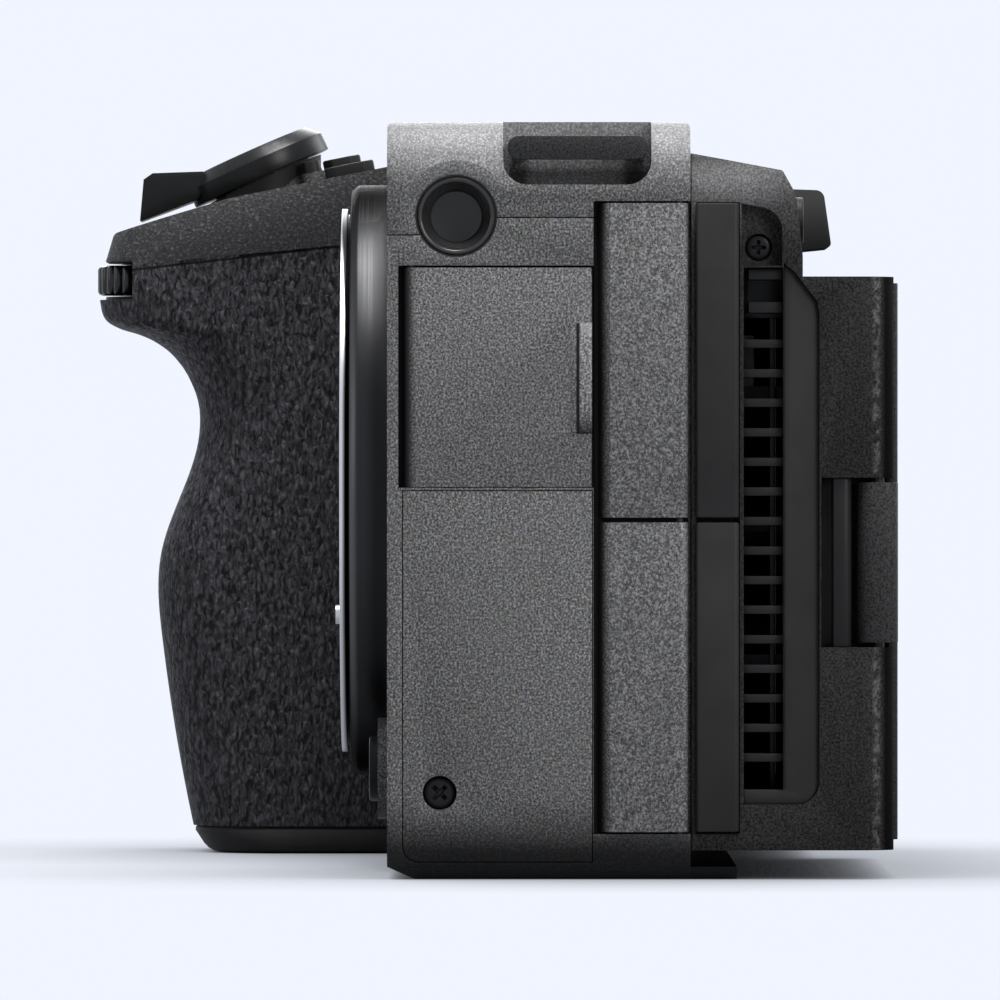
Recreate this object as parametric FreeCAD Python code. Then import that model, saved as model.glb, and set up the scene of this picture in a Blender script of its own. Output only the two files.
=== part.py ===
import FreeCAD, Part
import math
import os
from FreeCAD import Placement, Rotation, Vector

# Cinema camera with a mirrorless lens mount, a hand grip, a side hinged monitor and fan cooling.
# Millimetres. +X is the operator's left (port) side, -Y is the lens side, +Z is up.
# The origin is under the middle of the camera, on the surface that it stands on.

os.makedirs("parts", exist_ok=True)

# Overall size
width = 129.7
half_width = width / 2
body_top = 77.8
front_y = -9.7
seam_y = 21.4
port_side = half_width - 0.45
starboard_side = -half_width
wall = 2.0
port_wall = 4.0
panel_gap = 0.22
fit = 0.05
edge_round = 7.0

# Split between the covers
split_low = body_top - 11.7
split_high = body_top - 9.9
cover_bottom = 1.3
bottom_round = 4.0
grip_width = 29.35
grip_inner_x = starboard_side + grip_width

# Lens mount
mount_x = 10.0
mount_z = 41.0
flange_y = -14.9
flange_lip = 0.65
flange_step = 0.6
flange_radius = 28.9
throat_radius = 23.05
collar_radius = 31.4
collar_y = -13.9
mount_bore = 27.2
sensor_distance = 18.0

# Grip
seam_slope = 0.112
seam_z = body_top - 13.6
seam_ref_y = -38.7

# Battery
battery_size = (22.7, 38.7, 51.7)
battery_x = starboard_side + 4.55
battery_y = -25.0
battery_z = 2.3
battery_end = battery_y + battery_size[1]
grip_back_y = battery_end + 1.3

# Threaded inserts, quarter inch
thread_radius = 2.55
insert_radius = 4.2
insert_depth = 6.5
insert_mouth = 0.9
insert_floor = 0.8
insert_boss = 5.7
side_insert_y = -2.6
side_insert_z = body_top - 9.8


def block(xs, ys, zs):
    """A box between three pairs of coordinates."""
    size = (xs[1] - xs[0], ys[1] - ys[0], zs[1] - zs[0])
    return Part.makeBox(size[0], size[1], size[2], Vector(xs[0], ys[0], zs[0]))


def rod(start, direction, radius, length):
    return Part.makeCylinder(radius, length, Vector(*start), Vector(*direction))


def polygon_y(centre, radius, sides, y0, y1):
    """Regular prism along Y about centre (x, z), with its corners on the radius."""
    turns = [2 * math.pi * (i + 0.5) / sides for i in range(sides)]
    corners = [(centre[0] + radius * math.cos(turn), centre[1] + radius * math.sin(turn)) for turn in turns]
    return prism_y(corners, y0, y1)


def socket(pin):
    """Square room that just holds a round pin lying along X, Y or Z."""
    box = pin.BoundBox
    return block((box.XMin, box.XMax), (box.YMin, box.YMax), (box.ZMin, box.ZMax))


def corner_arc(before, corner, after):
    """Start, middle and end of a corner's arc. A negative radius bevels it, none leaves it sharp."""
    here = Vector(corner[0], corner[1], 0)
    radius = corner[2] if len(corner) > 2 else 0
    if radius == 0:
        return here, None, here
    back = (Vector(before[0], before[1], 0) - here).normalize()
    ahead = (Vector(after[0], after[1], 0) - here).normalize()
    if radius < 0:
        return here - back * radius, None, here - ahead * radius
    half = back.getAngle(ahead) / 2
    reach = radius / math.tan(half)
    middle_line = (back + ahead).normalize()
    centre = here + middle_line * (radius / math.sin(half))
    return here + back * reach, centre - middle_line * radius, here + ahead * reach


def outline(corners, place):
    """Closed wire through corners (u, v, radius), set in space by place(u, v)."""
    count = len(corners)
    arcs = [corner_arc(corners[i - 1], corners[i], corners[(i + 1) % count]) for i in range(count)]
    edges = []
    for i, (start, middle, end) in enumerate(arcs):
        if middle is not None:
            arc = Part.Arc(place(start.x, start.y), place(middle.x, middle.y), place(end.x, end.y))
            edges.append(arc.toShape())
        elif (end - start).Length > 1e-6:
            edges.append(Part.LineSegment(place(start.x, start.y), place(end.x, end.y)).toShape())
        following = arcs[(i + 1) % count][0]
        if (following - end).Length > 1e-6:
            edges.append(Part.LineSegment(place(end.x, end.y), place(following.x, following.y)).toShape())
    return Part.Wire(edges)


def prism_x(corners, x0, x1):
    """Outline in (y, z), swept from x0 to x1."""
    wire = outline(corners, lambda u, v: Vector(x0, u, v))
    return Part.Face(wire).extrude(Vector(x1 - x0, 0, 0))


def prism_y(corners, y0, y1):
    """Outline in (x, z), swept from y0 to y1."""
    wire = outline(corners, lambda u, v: Vector(u, y0, v))
    return Part.Face(wire).extrude(Vector(0, y1 - y0, 0))


def prism_z(corners, z0, z1):
    """Outline in (x, y), swept from z0 to z1."""
    wire = outline(corners, lambda u, v: Vector(u, v, z0))
    return Part.Face(wire).extrude(Vector(0, 0, z1 - z0))


def rectangle(us, vs, radius=0):
    return [(us[0], vs[0], radius), (us[1], vs[0], radius), (us[1], vs[1], radius), (us[0], vs[1], radius)]


def turned(corners, base, axis):
    """Solid of revolution of corners (radius, height), standing on base along axis."""
    wire = outline(corners, lambda u, v: Vector(u, 0, v))
    solid = Part.Face(wire).revolve(Vector(0, 0, 0), Vector(0, 0, 1), 360)
    solid.Placement = Placement(Vector(*base), Rotation(Vector(0, 0, 1), Vector(*axis)))
    return solid


def joined(shapes):
    whole = shapes[0]
    for shape in shapes[1:]:
        whole = whole.fuse(shape)
    return whole.removeSplitter()


def cut(shape, tools):
    for tool in tools:
        shape = shape.cut(tool)
    return shape


def knurled(radius, height, teeth, depth, base, axis, bore):
    """Wheel with straight teeth round its rim and a bore for its shaft."""
    corners = []
    for tooth in range(teeth):
        for share, inward in ((0.0, depth), (0.2, 0.0), (0.6, 0.0), (0.8, depth)):
            angle = 2 * math.pi * (tooth + share) / teeth
            corners.append(((radius - inward) * math.cos(angle), (radius - inward) * math.sin(angle)))
    wire = outline(corners, lambda u, v: Vector(u, v, 0))
    wheel = Part.Face(wire).extrude(Vector(0, 0, height))
    wheel = wheel.cut(Part.makeCylinder(bore, height))
    wheel.Placement = Placement(Vector(*base), Rotation(Vector(0, 0, 1), Vector(*axis)))
    return wheel


nodes = {}


def keep(name, *shapes):
    """Store one sub-part, as one solid or a group of separate ones."""
    solids = [solid for shape in shapes for solid in shape.Solids]
    nodes[name] = solids[0] if len(solids) == 1 else Part.makeCompound(solids)


# Doors on the port side, from the front: audio door, then two doors over the data ports
audio_y = (-8.05, 11.3)
audio_z = (40.25, body_top - 15.1)
audio_thickness = 1.6
door_y = (11.95, 21.2)
upper_z = (37.1, body_top - 8.5)
lower_z = (4.9, upper_z[0] - 0.5)
door_thickness = 1.8
door_side = port_side + 0.35
hinge_radius = 0.8
hinge_pin_radius = 0.4
door_gap = 0.5
door_bevel = 1.2
pin_bite = 1.6
tab_y = (9.6, 11.3)
tab_z = (audio_z[0] + 5.6, audio_z[1] - 5.6)
tab_height = 0.45
audio_axis = (port_side - hinge_radius, audio_y[0] + hinge_radius)
data_axis = (door_side - door_thickness / 2, door_y[1] - door_thickness / 2)
strip_y = (22.0, 26.45)
panel_y = audio_y
panel_z = (cover_bottom + 0.55, audio_z[0] - 0.45)
panel_round = 1.6
panel_thickness = 1.8

# Grip sections from the base up: height and front, with the same round corners at every height
grip_round_outer = 12.0
grip_round_inner = 8.0
grip_levels = (
    (0.2, -30.3),
    (3.0, -32.0),
    (24.0, -35.5),
    (33.0, -35.6),
    (body_top - 33.8, -31.8),
    (body_top - 28.3, -31.5),
    (body_top - 21.2, -36.6),
    (body_top - 18.0, -41.8),
    (body_top - 15.3, -42.3),
    (body_top + 2.2, -39.0),
)

# Top of the grip: the roof falls towards the front in two slopes
roof_flat_y = 0.8
roof_knee = (-27.9, body_top - 5.7)
roof_tip = (-40.7, body_top - 9.5)
roof_slope = (body_top - roof_knee[1]) / (roof_flat_y - roof_knee[0])
roof_angle = math.degrees(math.atan(roof_slope))


def roof_height(y):
    """Height of the grip's roof at y, behind its knee."""
    return roof_knee[1] + roof_slope * (y - roof_knee[0])


def seam_height(y):
    """Height of the slanted seam between the grip and the cap over it."""
    return seam_z + seam_slope * (y - seam_ref_y)


def on_roof(shape, x, y, lift=0.0):
    """Set a shape built about the origin on the roof, leaning as the roof does."""
    lean = Rotation(Vector(1, 0, 0), roof_angle)
    normal = lean.multVec(Vector(0, 0, 1))
    shape.Placement = Placement(Vector(x, y, roof_height(y)) + normal * lift, lean)
    return shape


def grip_stretch(low, high):
    """Part of the grip between two levels: the lower outline swept obliquely up to the upper one."""
    height, front = low
    corners = [
        (starboard_side, grip_back_y + 30),
        (starboard_side, front, grip_round_outer),
        (grip_inner_x, front, grip_round_inner),
        (grip_inner_x, grip_back_y + 30),
    ]
    section = Part.Face(outline(corners, lambda u, v: Vector(u, v, height)))
    return section.extrude(Vector(0, high[1] - front, high[0] - height))


grip_length = block((starboard_side, grip_inner_x), (-60, grip_back_y), (0, 90))
grip_form = joined([grip_stretch(*pair) for pair in zip(grip_levels, grip_levels[1:])]).common(grip_length)

# Controls on the grip
dial_radius = 7.0
dial_height = 3.3
dial_x = starboard_side + 13.85
dial_y = -35.8
dial_z = body_top - 16.2
dial_slot_y = -38.6
axle_radius = 0.8
dial_clear = 0.3
ring_x = starboard_side + 14.85
ring_y = -25.2
ring_z = body_top - 1.7
ring_lean = 24.0
ring_radius = 8.05
ring_half = 1.6
ring_shoulder = 0.3
ring_top_radius = 6.7
hub_radius = 5.6
record_radius = 4.75
record_base = -0.8
record_height = 2.2
record_travel = 0.5
tab_half_width = 4.2
tab_outline = ((-12.8, -6.3), (-12.4, -1.7), (-11.4, -1.0), (-5.8, -0.8), (-5.4, -2.1), (-6.4, -3.9))
ring_axis = Rotation(Vector(1, 0, 0), ring_lean).multVec(Vector(0, 0, 1))
ring_centre = Vector(ring_x, ring_y, ring_z)


def on_ring(height):
    """Point on the zoom ring's axis, so far above the ring's middle."""
    return ring_centre + ring_axis * height


# Strap lugs and accessory shoe
notch_y = (2.2, 17.4)
notch_floor = body_top - 6.6
notch_depth = 6.8
notch_round = 2.5
bar_thickness = 2.0
bar_y = (2.65, 17.1)
bar_z = (body_top - 4.0, body_top - 1.6)
leg_width = 1.9
shoe_half = 10.4
shoe_y = (2.0, seam_y)
shoe_base = body_top - 3.5
shoe_floor = body_top - 2.8
shoe_lip = 0.8
shoe_slot = 18.6
shoe_mouth = 12.6

# Top inserts, lamp and power switch
top_inserts = ((port_side - 12.4, side_insert_y), (grip_inner_x + 13.5, 0.5), (grip_inner_x + 13.5, 15.0))
lamp_x = (mount_x + 20.0, mount_x + 27.0)
lamp_y = (-6.6, -4.8)
lamp_depth = 1.5
switch_x = dial_x
switch_y = 12.0
switch_radius = 5.0
switch_height = 2.4
switch_pin = 2.0
switch_tab = 8.6

# Buttons on the roof: middle, half length, half width, height over the roof
button_travel = 0.4
button_stem = 1.4
button_clear = 0.12
iso_place = (ring_x + 7.4, -14.6)
iris_place = (ring_x + 1.6, -15.3)
iso_size = (1.7, 2.75, 1.3)
iris_size = (1.7, 2.1, 1.2)
iris_plinth = 1.1
wb_place = (ring_x + 6.0, -18.6)
wb_radius = 1.0
wb_height = 2.5
wb_collar_radius = 1.35
wb_collar_height = 1.2


def roof_button(half_x, half_y, low, high, grow=0.0):
    """Long button with bevelled ends, about the origin."""
    bevel = -0.6 * (half_x + grow)
    corners = rectangle((-half_x - grow, half_x + grow), (-half_y - grow, half_y + grow), bevel)
    return prism_z(corners, low, high)


def notch(side):
    """Space of the strap notch at one side, open upwards and outwards."""
    low = [(notch_y[0], notch_floor, notch_round), (notch_y[1], notch_floor, notch_round)]
    corners = low + [(notch_y[1], 90), (notch_y[0], 90)]
    inner = side - math.copysign(notch_depth, side)
    return prism_x(corners, inner, side + math.copysign(10, side))


def strap_bar(side):
    """Flat bar on two legs that stand on the notch's back wall."""
    out = math.copysign(1, side)
    back = side - out * notch_depth
    face = side - out * bar_thickness
    round_end = (bar_z[1] - bar_z[0]) / 2 - 0.02
    plate = prism_x(rectangle(bar_y, bar_z, round_end), face, side)
    legs = [
        block(sorted((back, face)), (y, y + leg_width), (bar_z[0] + 0.4, bar_z[1] - 0.4))
        for y in (bar_y[0] + 0.4, bar_y[1] - 0.4 - leg_width)
    ]
    return joined([plate] + legs)


def insert(x, y, z, direction):
    """Threaded bush, closed at its inner end, whose mouth is at the given point."""
    corners = [
        (insert_radius, 0),
        (insert_radius, insert_depth),
        (0, insert_depth),
        (0, insert_depth - insert_floor),
        (thread_radius, insert_depth - insert_floor),
        (thread_radius, insert_mouth),
    ]
    return turned(corners, (x, y, z), direction)


def insert_room(x, y, z, direction):
    """Hole for a threaded bush, a hair wider than the bush."""
    way = Vector(*direction)
    return Part.makeCylinder(insert_radius + 0.02, insert_depth + 1, Vector(x, y, z) - way, way)


insert_places = [
    (port_side, side_insert_y, side_insert_z, (-1, 0, 0)),
    (starboard_side, side_insert_y, side_insert_z, (1, 0, 0)),
] + [(x, y, body_top, (0, 0, -1)) for x, y in top_inserts]
keep("thread_inserts", *[insert(*place) for place in insert_places])
insert_rooms = [insert_room(*place) for place in insert_places]
keep("strap_bars", strap_bar(port_side), strap_bar(starboard_side))

# Door recesses, shared by the covers that they cross
audio_recess = block(
    (port_side - audio_thickness - 0.1, 90),
    (audio_y[0] - door_gap, audio_y[1] + panel_gap),
    (audio_z[0] - 0.1, audio_z[1] + panel_gap),
)
data_recess = block(
    (door_side - door_thickness - 0.1, 90),
    (door_y[0] - door_gap, seam_y + 1),
    (lower_z[0] - panel_gap, upper_z[1] + panel_gap),
)


def panel_outline(grow=0.0):
    """Outline of the lower side panel, rounded at its lower front corner."""
    front, back = panel_y[0] - grow, panel_y[1] + grow
    low, high = panel_z[0] - grow, panel_z[1] + grow
    return [(front, low, panel_round + grow), (back, low), (back, high), (front, high)]


panel_recess = prism_x(panel_outline(0.1), port_side - panel_thickness, 90)
audio_pin = rod(
    (audio_axis[0], audio_axis[1], audio_z[0] - pin_bite),
    (0, 0, 1),
    hinge_pin_radius,
    audio_z[1] - audio_z[0] + 2 * pin_bite,
)
data_pin = rod(
    (data_axis[0], data_axis[1], lower_z[0] - pin_bite),
    (0, 0, 1),
    hinge_pin_radius,
    upper_z[1] - lower_z[0] + 2 * pin_bite,
)


def top_cover():
    """Cover over the body and the grip, with notches, shoe seat and the ring's pedestal."""
    side = prism_x(
        [
            (front_y, split_low),
            (side_insert_y, split_low),
            (side_insert_y, split_high),
            (seam_y, split_high),
            (seam_y, body_top, 0.7),
            (front_y, body_top, 0.7),
        ],
        grip_inner_x + 2,
        port_side,
    )
    section = prism_y(
        [
            (starboard_side, 40),
            (port_side, 40),
            (port_side, body_top, edge_round),
            (starboard_side, body_top, edge_round),
        ],
        -60,
        60,
    )
    roof = prism_x(
        [
            (roof_tip[0] - 1.9, roof_tip[1] - 6.0),
            (roof_tip[0] - 1.9, 40),
            (seam_y, 40),
            (seam_y, body_top, 0.7),
            (roof_flat_y, body_top, 10),
            (roof_knee[0], roof_knee[1], 20),
            (roof_tip[0], roof_tip[1], 0.8),
        ],
        starboard_side - 1,
        grip_inner_x + 4,
    )
    under = prism_x(
        [
            (-60, seam_height(-60)),
            (grip_back_y, seam_height(grip_back_y)),
            (grip_back_y, split_high),
            (seam_y + 1, split_high),
            (seam_y + 1, 30),
            (-60, 30),
        ],
        starboard_side - 1,
        grip_inner_x,
    )
    bridge = prism_x(
        [
            (front_y, split_low),
            (side_insert_y, split_low),
            (side_insert_y, split_high),
            (seam_y, split_high),
            (seam_y, 90),
            (front_y, 90),
        ],
        grip_inner_x,
        grip_inner_x + 4,
    )
    grip = grip_form.fuse(block((starboard_side, grip_inner_x), (grip_back_y - 0.5, seam_y), (40, 90)))
    grip = grip.cut(under).fuse(bridge).common(roof)
    plinth = on_roof(roof_button(iris_size[0], iris_size[1], -3, iris_plinth, 0.6), *iris_place)
    collar = on_roof(Part.makeCylinder(wb_collar_radius, 3 + wb_collar_height, Vector(0, 0, -3)), *wb_place)
    pedestal = Part.makeCylinder(6.5, 6.5, on_ring(-ring_half - 0.25 - 6.5), ring_axis)
    hub = Part.makeCylinder(hub_radius, 3.2, on_ring(-ring_half - 0.3), ring_axis)
    boss = rod((port_side, side_insert_y, side_insert_z), (-1, 0, 0), insert_boss, port_wall)
    boss = boss.common(block((0, half_width), (-60, 60), (split_high, body_top)))
    shape = joined([side.fuse(grip).common(section), plinth, collar, pedestal, hub, boss])
    ring_floor = Part.makeCylinder(record_radius + fit, 10, on_ring(-ring_half + 0.2), ring_axis)
    shoe_room = block((mount_x - shoe_half, mount_x + shoe_half), shoe_y, (shoe_base, 90))
    lamp_room = block(lamp_x, lamp_y, (body_top - lamp_depth, 90))
    switch_hole = socket(rod((switch_x, switch_y, body_top - 3), (0, 0, 1), switch_pin + fit, 5))
    well_floor = -button_stem - button_travel - 0.1
    wells = [
        on_roof(roof_button(*iso_size[:2], well_floor, 9, button_clear), *iso_place),
        on_roof(roof_button(*iris_size[:2], well_floor, 9, button_clear), *iris_place),
        on_roof(Part.makeCylinder(wb_radius + fit, 12, Vector(0, 0, well_floor)), *wb_place),
    ]
    hollow = block((grip_inner_x + 4, port_side - 12), (front_y + wall, seam_y + 1), (60, notch_floor))
    tools = insert_rooms + wells
    tools += [notch(side) for side in (port_side, starboard_side)]
    tools += [ring_floor, shoe_room, lamp_room, switch_hole, hollow]
    tools += [audio_recess, data_recess, socket(data_pin), dial_room, dial_gap, socket(axle_room), bore_room]
    return cut(shape, tools)


bore_room = rod((mount_x, front_y - 1, mount_z), (0, 1, 0), mount_bore, 6)
dial_room = rod(
    (dial_x, dial_y, dial_z - dial_clear), (0, 0, 1), dial_radius + dial_clear, dial_height + 2 * dial_clear
)
# Gap right across the front of the grip, in which the dial stands
dial_gap = block(
    (starboard_side - 1, grip_inner_x + 1),
    (-60, dial_slot_y),
    (dial_z - 2 * dial_clear, dial_z + dial_height + dial_clear),
)
axle_room = rod((dial_x, dial_y, dial_z - 1.6), (0, 0, 1), axle_radius + fit, dial_height + 3.2)
keep("top_cover", top_cover())

# Jacks and ports behind the doors
audio_middle = (audio_z[0] + audio_z[1]) / 2
jack_places = ((-0.9, audio_middle + 4.6), (-0.9, audio_middle - 4.6))
jack_radius = 3.4
jack_bore = 1.8
jack_length = 12.0
port_back = 12.0
connector_span = (port_side - 15.0, port_side + 5.0)
jack_face = port_side - audio_thickness - 0.5
port_face = door_side - door_thickness - 0.4
# Ports: middle (y, z), half height and half length
video_port_z = (49.1, upper_z[1] - 4.4)
port_list = (
    ((16.0, sum(video_port_z) / 2), 3.0, (video_port_z[1] - video_port_z[0]) / 2),
    ((16.0, 43.4), 2.1, 4.9),
    ((16.0, 28.0), 2.1, 4.9),
    ((16.0, 14.0), 1.9, 4.2),
)


def jack_outline(y, z, grow=0.0):
    """Eight-sided outline of a jack's body."""
    reach = jack_radius + grow
    return rectangle((y - reach, y + reach), (z - reach, z + reach), -reach * (2 - math.sqrt(2)))


def port_outline(place, half_y, half_z, grow=0.0):
    ys = (place[0] - half_y - grow, place[0] + half_y + grow)
    zs = (place[1] - half_z - grow, place[1] + half_z + grow)
    return rectangle(ys, zs, -(half_y + grow) * 0.5)


# The rear cover stands back a little from the port side
rear_side = port_side - 0.4


def casing_section(y0, y1):
    """Block of the casing's cross-section, with its rounded lower port edge."""
    corners = [
        (grip_inner_x + 0.1, 0),
        (port_side, 0, bottom_round),
        (port_side, body_top),
        (grip_inner_x + 0.1, body_top),
    ]
    return prism_y(corners, y0, y1)


def front_cover():
    """Metal front shell: front wall with the mount's bore, port wall with the door recesses."""
    shape = casing_section(front_y, seam_y)
    trim = prism_x(
        [
            (front_y, cover_bottom),
            (seam_y, cover_bottom),
            (seam_y, split_high - 0.12),
            (side_insert_y, split_high - 0.12),
            (side_insert_y, split_low - 0.12),
            (front_y, split_low - 0.12),
        ],
        starboard_side,
        half_width,
    )
    shape = shape.common(trim)
    room = block(
        (grip_inner_x + wall, port_side - port_wall), (front_y + wall, seam_y + 1), (cover_bottom + wall, 90)
    )
    socket_hole = rod((tripod_x, tripod_y, 0), (0, 0, 1), tripod_radius + 0.02, 10)
    jack_holes = [prism_x(jack_outline(y, z, 0.02), *connector_span) for y, z in jack_places]
    port_holes = [prism_x(port_outline(*port, 0.02), *connector_span) for port in port_list]
    boss = rod((release_x, front_y + 1, release_z), (0, -1, 0), boss_radius, 1 + boss_height)
    shape = cut(shape, [room, bore_room, audio_recess, data_recess, panel_recess]).fuse(boss).removeSplitter()
    bore_for_button = rod((release_x, front_y + 4, release_z), (0, -1, 0), release_radius + fit, 9)
    tools = [socket_hole, socket(audio_pin), socket(data_pin), bore_for_button]
    tools += insert_rooms + jack_holes + port_holes
    return cut(shape, tools)


# Tripod socket, lens release button and lock pin
tripod_x = mount_x
tripod_y = 0.4
tripod_radius = 4.8
tripod_length = 6.6
release_x = mount_x + 24.0
release_z = mount_z - 30.2
release_radius = 3.4
release_face = 2.1
release_travel = 1.2
boss_radius = 5.3
boss_height = 1.2
lock_x = mount_x + 22.0
lock_z = mount_z - 14.1
lock_radius = 1.0
lock_out = 0.45

keep("front_cover", front_cover())


def tripod_socket():
    corners = [
        (thread_radius + 0.6, 0),
        (tripod_radius, 0),
        (tripod_radius, tripod_length),
        (thread_radius, tripod_length),
        (thread_radius, 0.6),
    ]
    return turned(corners, (tripod_x, tripod_y, 0), (0, 0, 1))


def base_plate():
    """Plate that closes the underside, flush with the casing, and carries the tripod socket."""
    side = prism_x(
        [
            (front_y, cover_bottom),
            (front_y + plate_bevel, 0),
            (plate_back, 0),
            (plate_back, cover_bottom),
        ],
        grip_inner_x + 0.6,
        port_side,
    )
    rear_corner = block((rear_side - 0.6, 90), (seam_y, 90), (-1, cover_bottom + 1))
    hole = rod((tripod_x, tripod_y, -1), (0, 0, 1), tripod_radius + 0.02, cover_bottom + 2)
    return cut(casing_section(front_y, plate_back).common(side), [rear_corner, hole])


plate_back = seam_y + 4.8
plate_bevel = 2.8


keep("tripod_socket", tripod_socket())
keep("base_plate", base_plate())


def grip_shell():
    """Grip below the slanted seam, with the battery well and the slot of the front dial."""
    under = prism_x(
        [
            (-60, seam_height(-60) - 0.12),
            (grip_back_y + 1, seam_height(grip_back_y + 1) - 0.12),
            (grip_back_y + 1, -5),
            (-60, -5),
        ],
        starboard_side - 1,
        grip_inner_x + 1,
    )
    well = block(
        (battery_x - 0.15, battery_x + battery_size[0] + 0.15),
        (battery_y - 0.15, battery_y + battery_size[1] + 0.15),
        (-1, battery_z + battery_size[2] + 0.2),
    )
    door_room = prism_z(cell_door_outline(panel_gap), -1, cell_door_z[1] + 0.1)
    tools = [well, door_room, dial_room, dial_gap, socket(axle_room), socket(cell_pin)]
    return cut(grip_form.common(under), tools + insert_rooms)


# Battery door, hinged at the outer side of the grip
cell_door_x = (starboard_side + 3.65, grip_inner_x - 1.4)
cell_door_y = (battery_y - 0.7, battery_end + 0.4)
cell_door_z = (0.2, 2.1)
cell_door_round = 3.5
cell_radius = (cell_door_z[1] - cell_door_z[0]) / 2
cell_axis = (cell_door_x[0] + cell_radius, cell_door_z[0] + cell_radius)
cell_pin_over = 0.6
cell_pin = rod(
    (cell_axis[0], cell_door_y[0] - cell_pin_over, cell_axis[1]),
    (0, 1, 0),
    hinge_pin_radius,
    cell_door_y[1] - cell_door_y[0] + 2 * cell_pin_over,
)
latch_x = (cell_door_x[1] - 6.7, cell_door_x[1] - 1.7)
latch_y = (-12.0, -2.0)
latch_depth = 1.1
latch_travel = 2.2


def cell_door_outline(grow=0.0):
    """Outline of the battery door, rounded at its free edge."""
    return [
        (cell_door_x[0] - grow, cell_door_y[0] - grow),
        (cell_door_x[1] + grow, cell_door_y[0] - grow, cell_door_round),
        (cell_door_x[1] + grow, cell_door_y[1] + grow, cell_door_round),
        (cell_door_x[0] - grow, cell_door_y[1] + grow),
    ]


keep("grip_shell", grip_shell())
keep(
    "battery",
    prism_z(
        rectangle(
            (battery_x, battery_x + battery_size[0]), (battery_y, battery_y + battery_size[1]), -1.5
        ),
        battery_z,
        battery_z + battery_size[2],
    ),
)


def battery_door():
    """Plate with a round hinge edge and a slot for its latch."""
    cover = prism_z(cell_door_outline(), cell_door_z[0], cell_door_z[1])
    edge = block((cell_door_x[0] - 1, cell_axis[0]), (-60, 60), (-1, 5))
    knuckle = rod(
        (cell_axis[0], cell_door_y[0], cell_axis[1]), (0, 1, 0), cell_radius, cell_door_y[1] - cell_door_y[0]
    )
    slot = block(
        (latch_x[0] - latch_travel - 0.1, latch_x[1] + 0.1),
        (latch_y[0] - 0.1, latch_y[1] + 0.1),
        (-1, cell_door_z[0] + latch_depth + 0.05),
    )
    pin_room = rod((cell_axis[0], cell_door_y[0] - 1, cell_axis[1]), (0, 1, 0), hinge_pin_radius + fit, 60)
    return cut(joined([cover.cut(edge), knuckle]), [slot, pin_room])


def battery_latch():
    plate = block(latch_x, latch_y, (cell_door_z[0] + 0.1, cell_door_z[0] + latch_depth))
    grooves = [
        block((latch_x[0] + 1 + step, latch_x[0] + 1.4 + step), (latch_y[0] + 1, latch_y[1] - 1), (0, 0.6))
        for step in (0, 1, 2)
    ]
    return cut(plate, grooves)


keep("battery_door", battery_door())
keep("battery_latch", battery_latch())


# Jack doors
def audio_door():
    """Front door: plate with a round hinge edge and a pull tab along its rear edge."""
    inner = port_side - audio_thickness
    plate = prism_z(
        [
            (inner, audio_axis[1]),
            (port_side, audio_axis[1]),
            (port_side, audio_y[1], 0.3),
            (inner, audio_y[1]),
        ],
        audio_z[0],
        audio_z[1],
    )
    knuckle = rod((*audio_axis, audio_z[0]), (0, 0, 1), hinge_radius, audio_z[1] - audio_z[0])
    ridge = prism_z(
        [
            (port_side - 0.5, tab_y[0] - 0.5),
            (port_side, tab_y[0] - 0.5),
            (port_side + tab_height, tab_y[0], 0.3),
            (port_side + tab_height, tab_y[1], 0.3),
            (port_side - 0.5, tab_y[1]),
        ],
        tab_z[0],
        tab_z[1],
    )
    pin_room = rod((audio_axis[0], audio_axis[1], 0), (0, 0, 1), hinge_pin_radius + fit, 90)
    return joined([plate, knuckle, ridge]).cut(pin_room)


def data_door(zs):
    """Rear door: plate with a bevelled free edge and a round hinge edge."""
    inner = door_side - door_thickness
    plate = prism_z(
        [
            (inner, door_y[0]),
            (door_side - door_bevel, door_y[0]),
            (door_side, door_y[0] + door_bevel),
            (door_side, data_axis[1]),
            (inner, data_axis[1]),
        ],
        zs[0],
        zs[1],
    )
    knuckle = rod((data_axis[0], data_axis[1], zs[0]), (0, 0, 1), door_thickness / 2, zs[1] - zs[0])
    pin_room = rod((data_axis[0], data_axis[1], 0), (0, 0, 1), hinge_pin_radius + fit, 90)
    return joined([plate, knuckle]).cut(pin_room)


keep("audio_door", audio_door())
keep("upper_data_door", data_door(upper_z))
keep("lower_data_door", data_door(lower_z))


def side_panel():
    plate = prism_x(panel_outline(), port_side - panel_thickness, port_side)
    shape = plate.common(casing_section(*panel_y))
    mouth = (port_side + 1, panel_screw[0], panel_screw[1])
    screw_room = rod(mouth, (-1, 0, 0), screw_radius, 1 + screw_sunk + 0.9)
    return cut(shape, [socket(audio_pin), screw_room])


panel_screw = (-4.3, 8.9)
screw_radius = 1.75
screw_sunk = 0.7
keep("side_panel", side_panel())


def jack(y, z):
    """Eight-sided body with a round hole for the plug."""
    body = prism_x(jack_outline(y, z), jack_face - jack_length, jack_face)
    return body.cut(rod((jack_face + 1, y, z), (-1, 0, 0), jack_bore, jack_length))


def port(place, half_y, half_z):
    """Connector shell with an open mouth and its tongue."""
    body = prism_x(port_outline(place, half_y, half_z), port_face - port_back, port_face)
    mouth = prism_x(port_outline(place, half_y, half_z, -0.5), port_face - port_back + 2, port_face + 1)
    tongue = block(
        (port_face - port_back + 1, port_face - 1),
        (place[0] - 0.35, place[0] + 0.35),
        (place[1] - half_z * 0.6, place[1] + half_z * 0.6),
    )
    return body.cut(mouth).fuse(tongue)


keep("jack_sockets", *[jack(*place) for place in jack_places])
keep("data_ports", *[port(*each) for each in port_list])


# Lens mount
def mount_ring(corners):
    """Ring about the lens axis from corners (radius, y, rounding)."""
    profile = [(corner[0], corner[1] - collar_y) + tuple(corner[2:]) for corner in corners]
    return turned(profile, (mount_x, collar_y, mount_z), (0, 1, 0))


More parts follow.
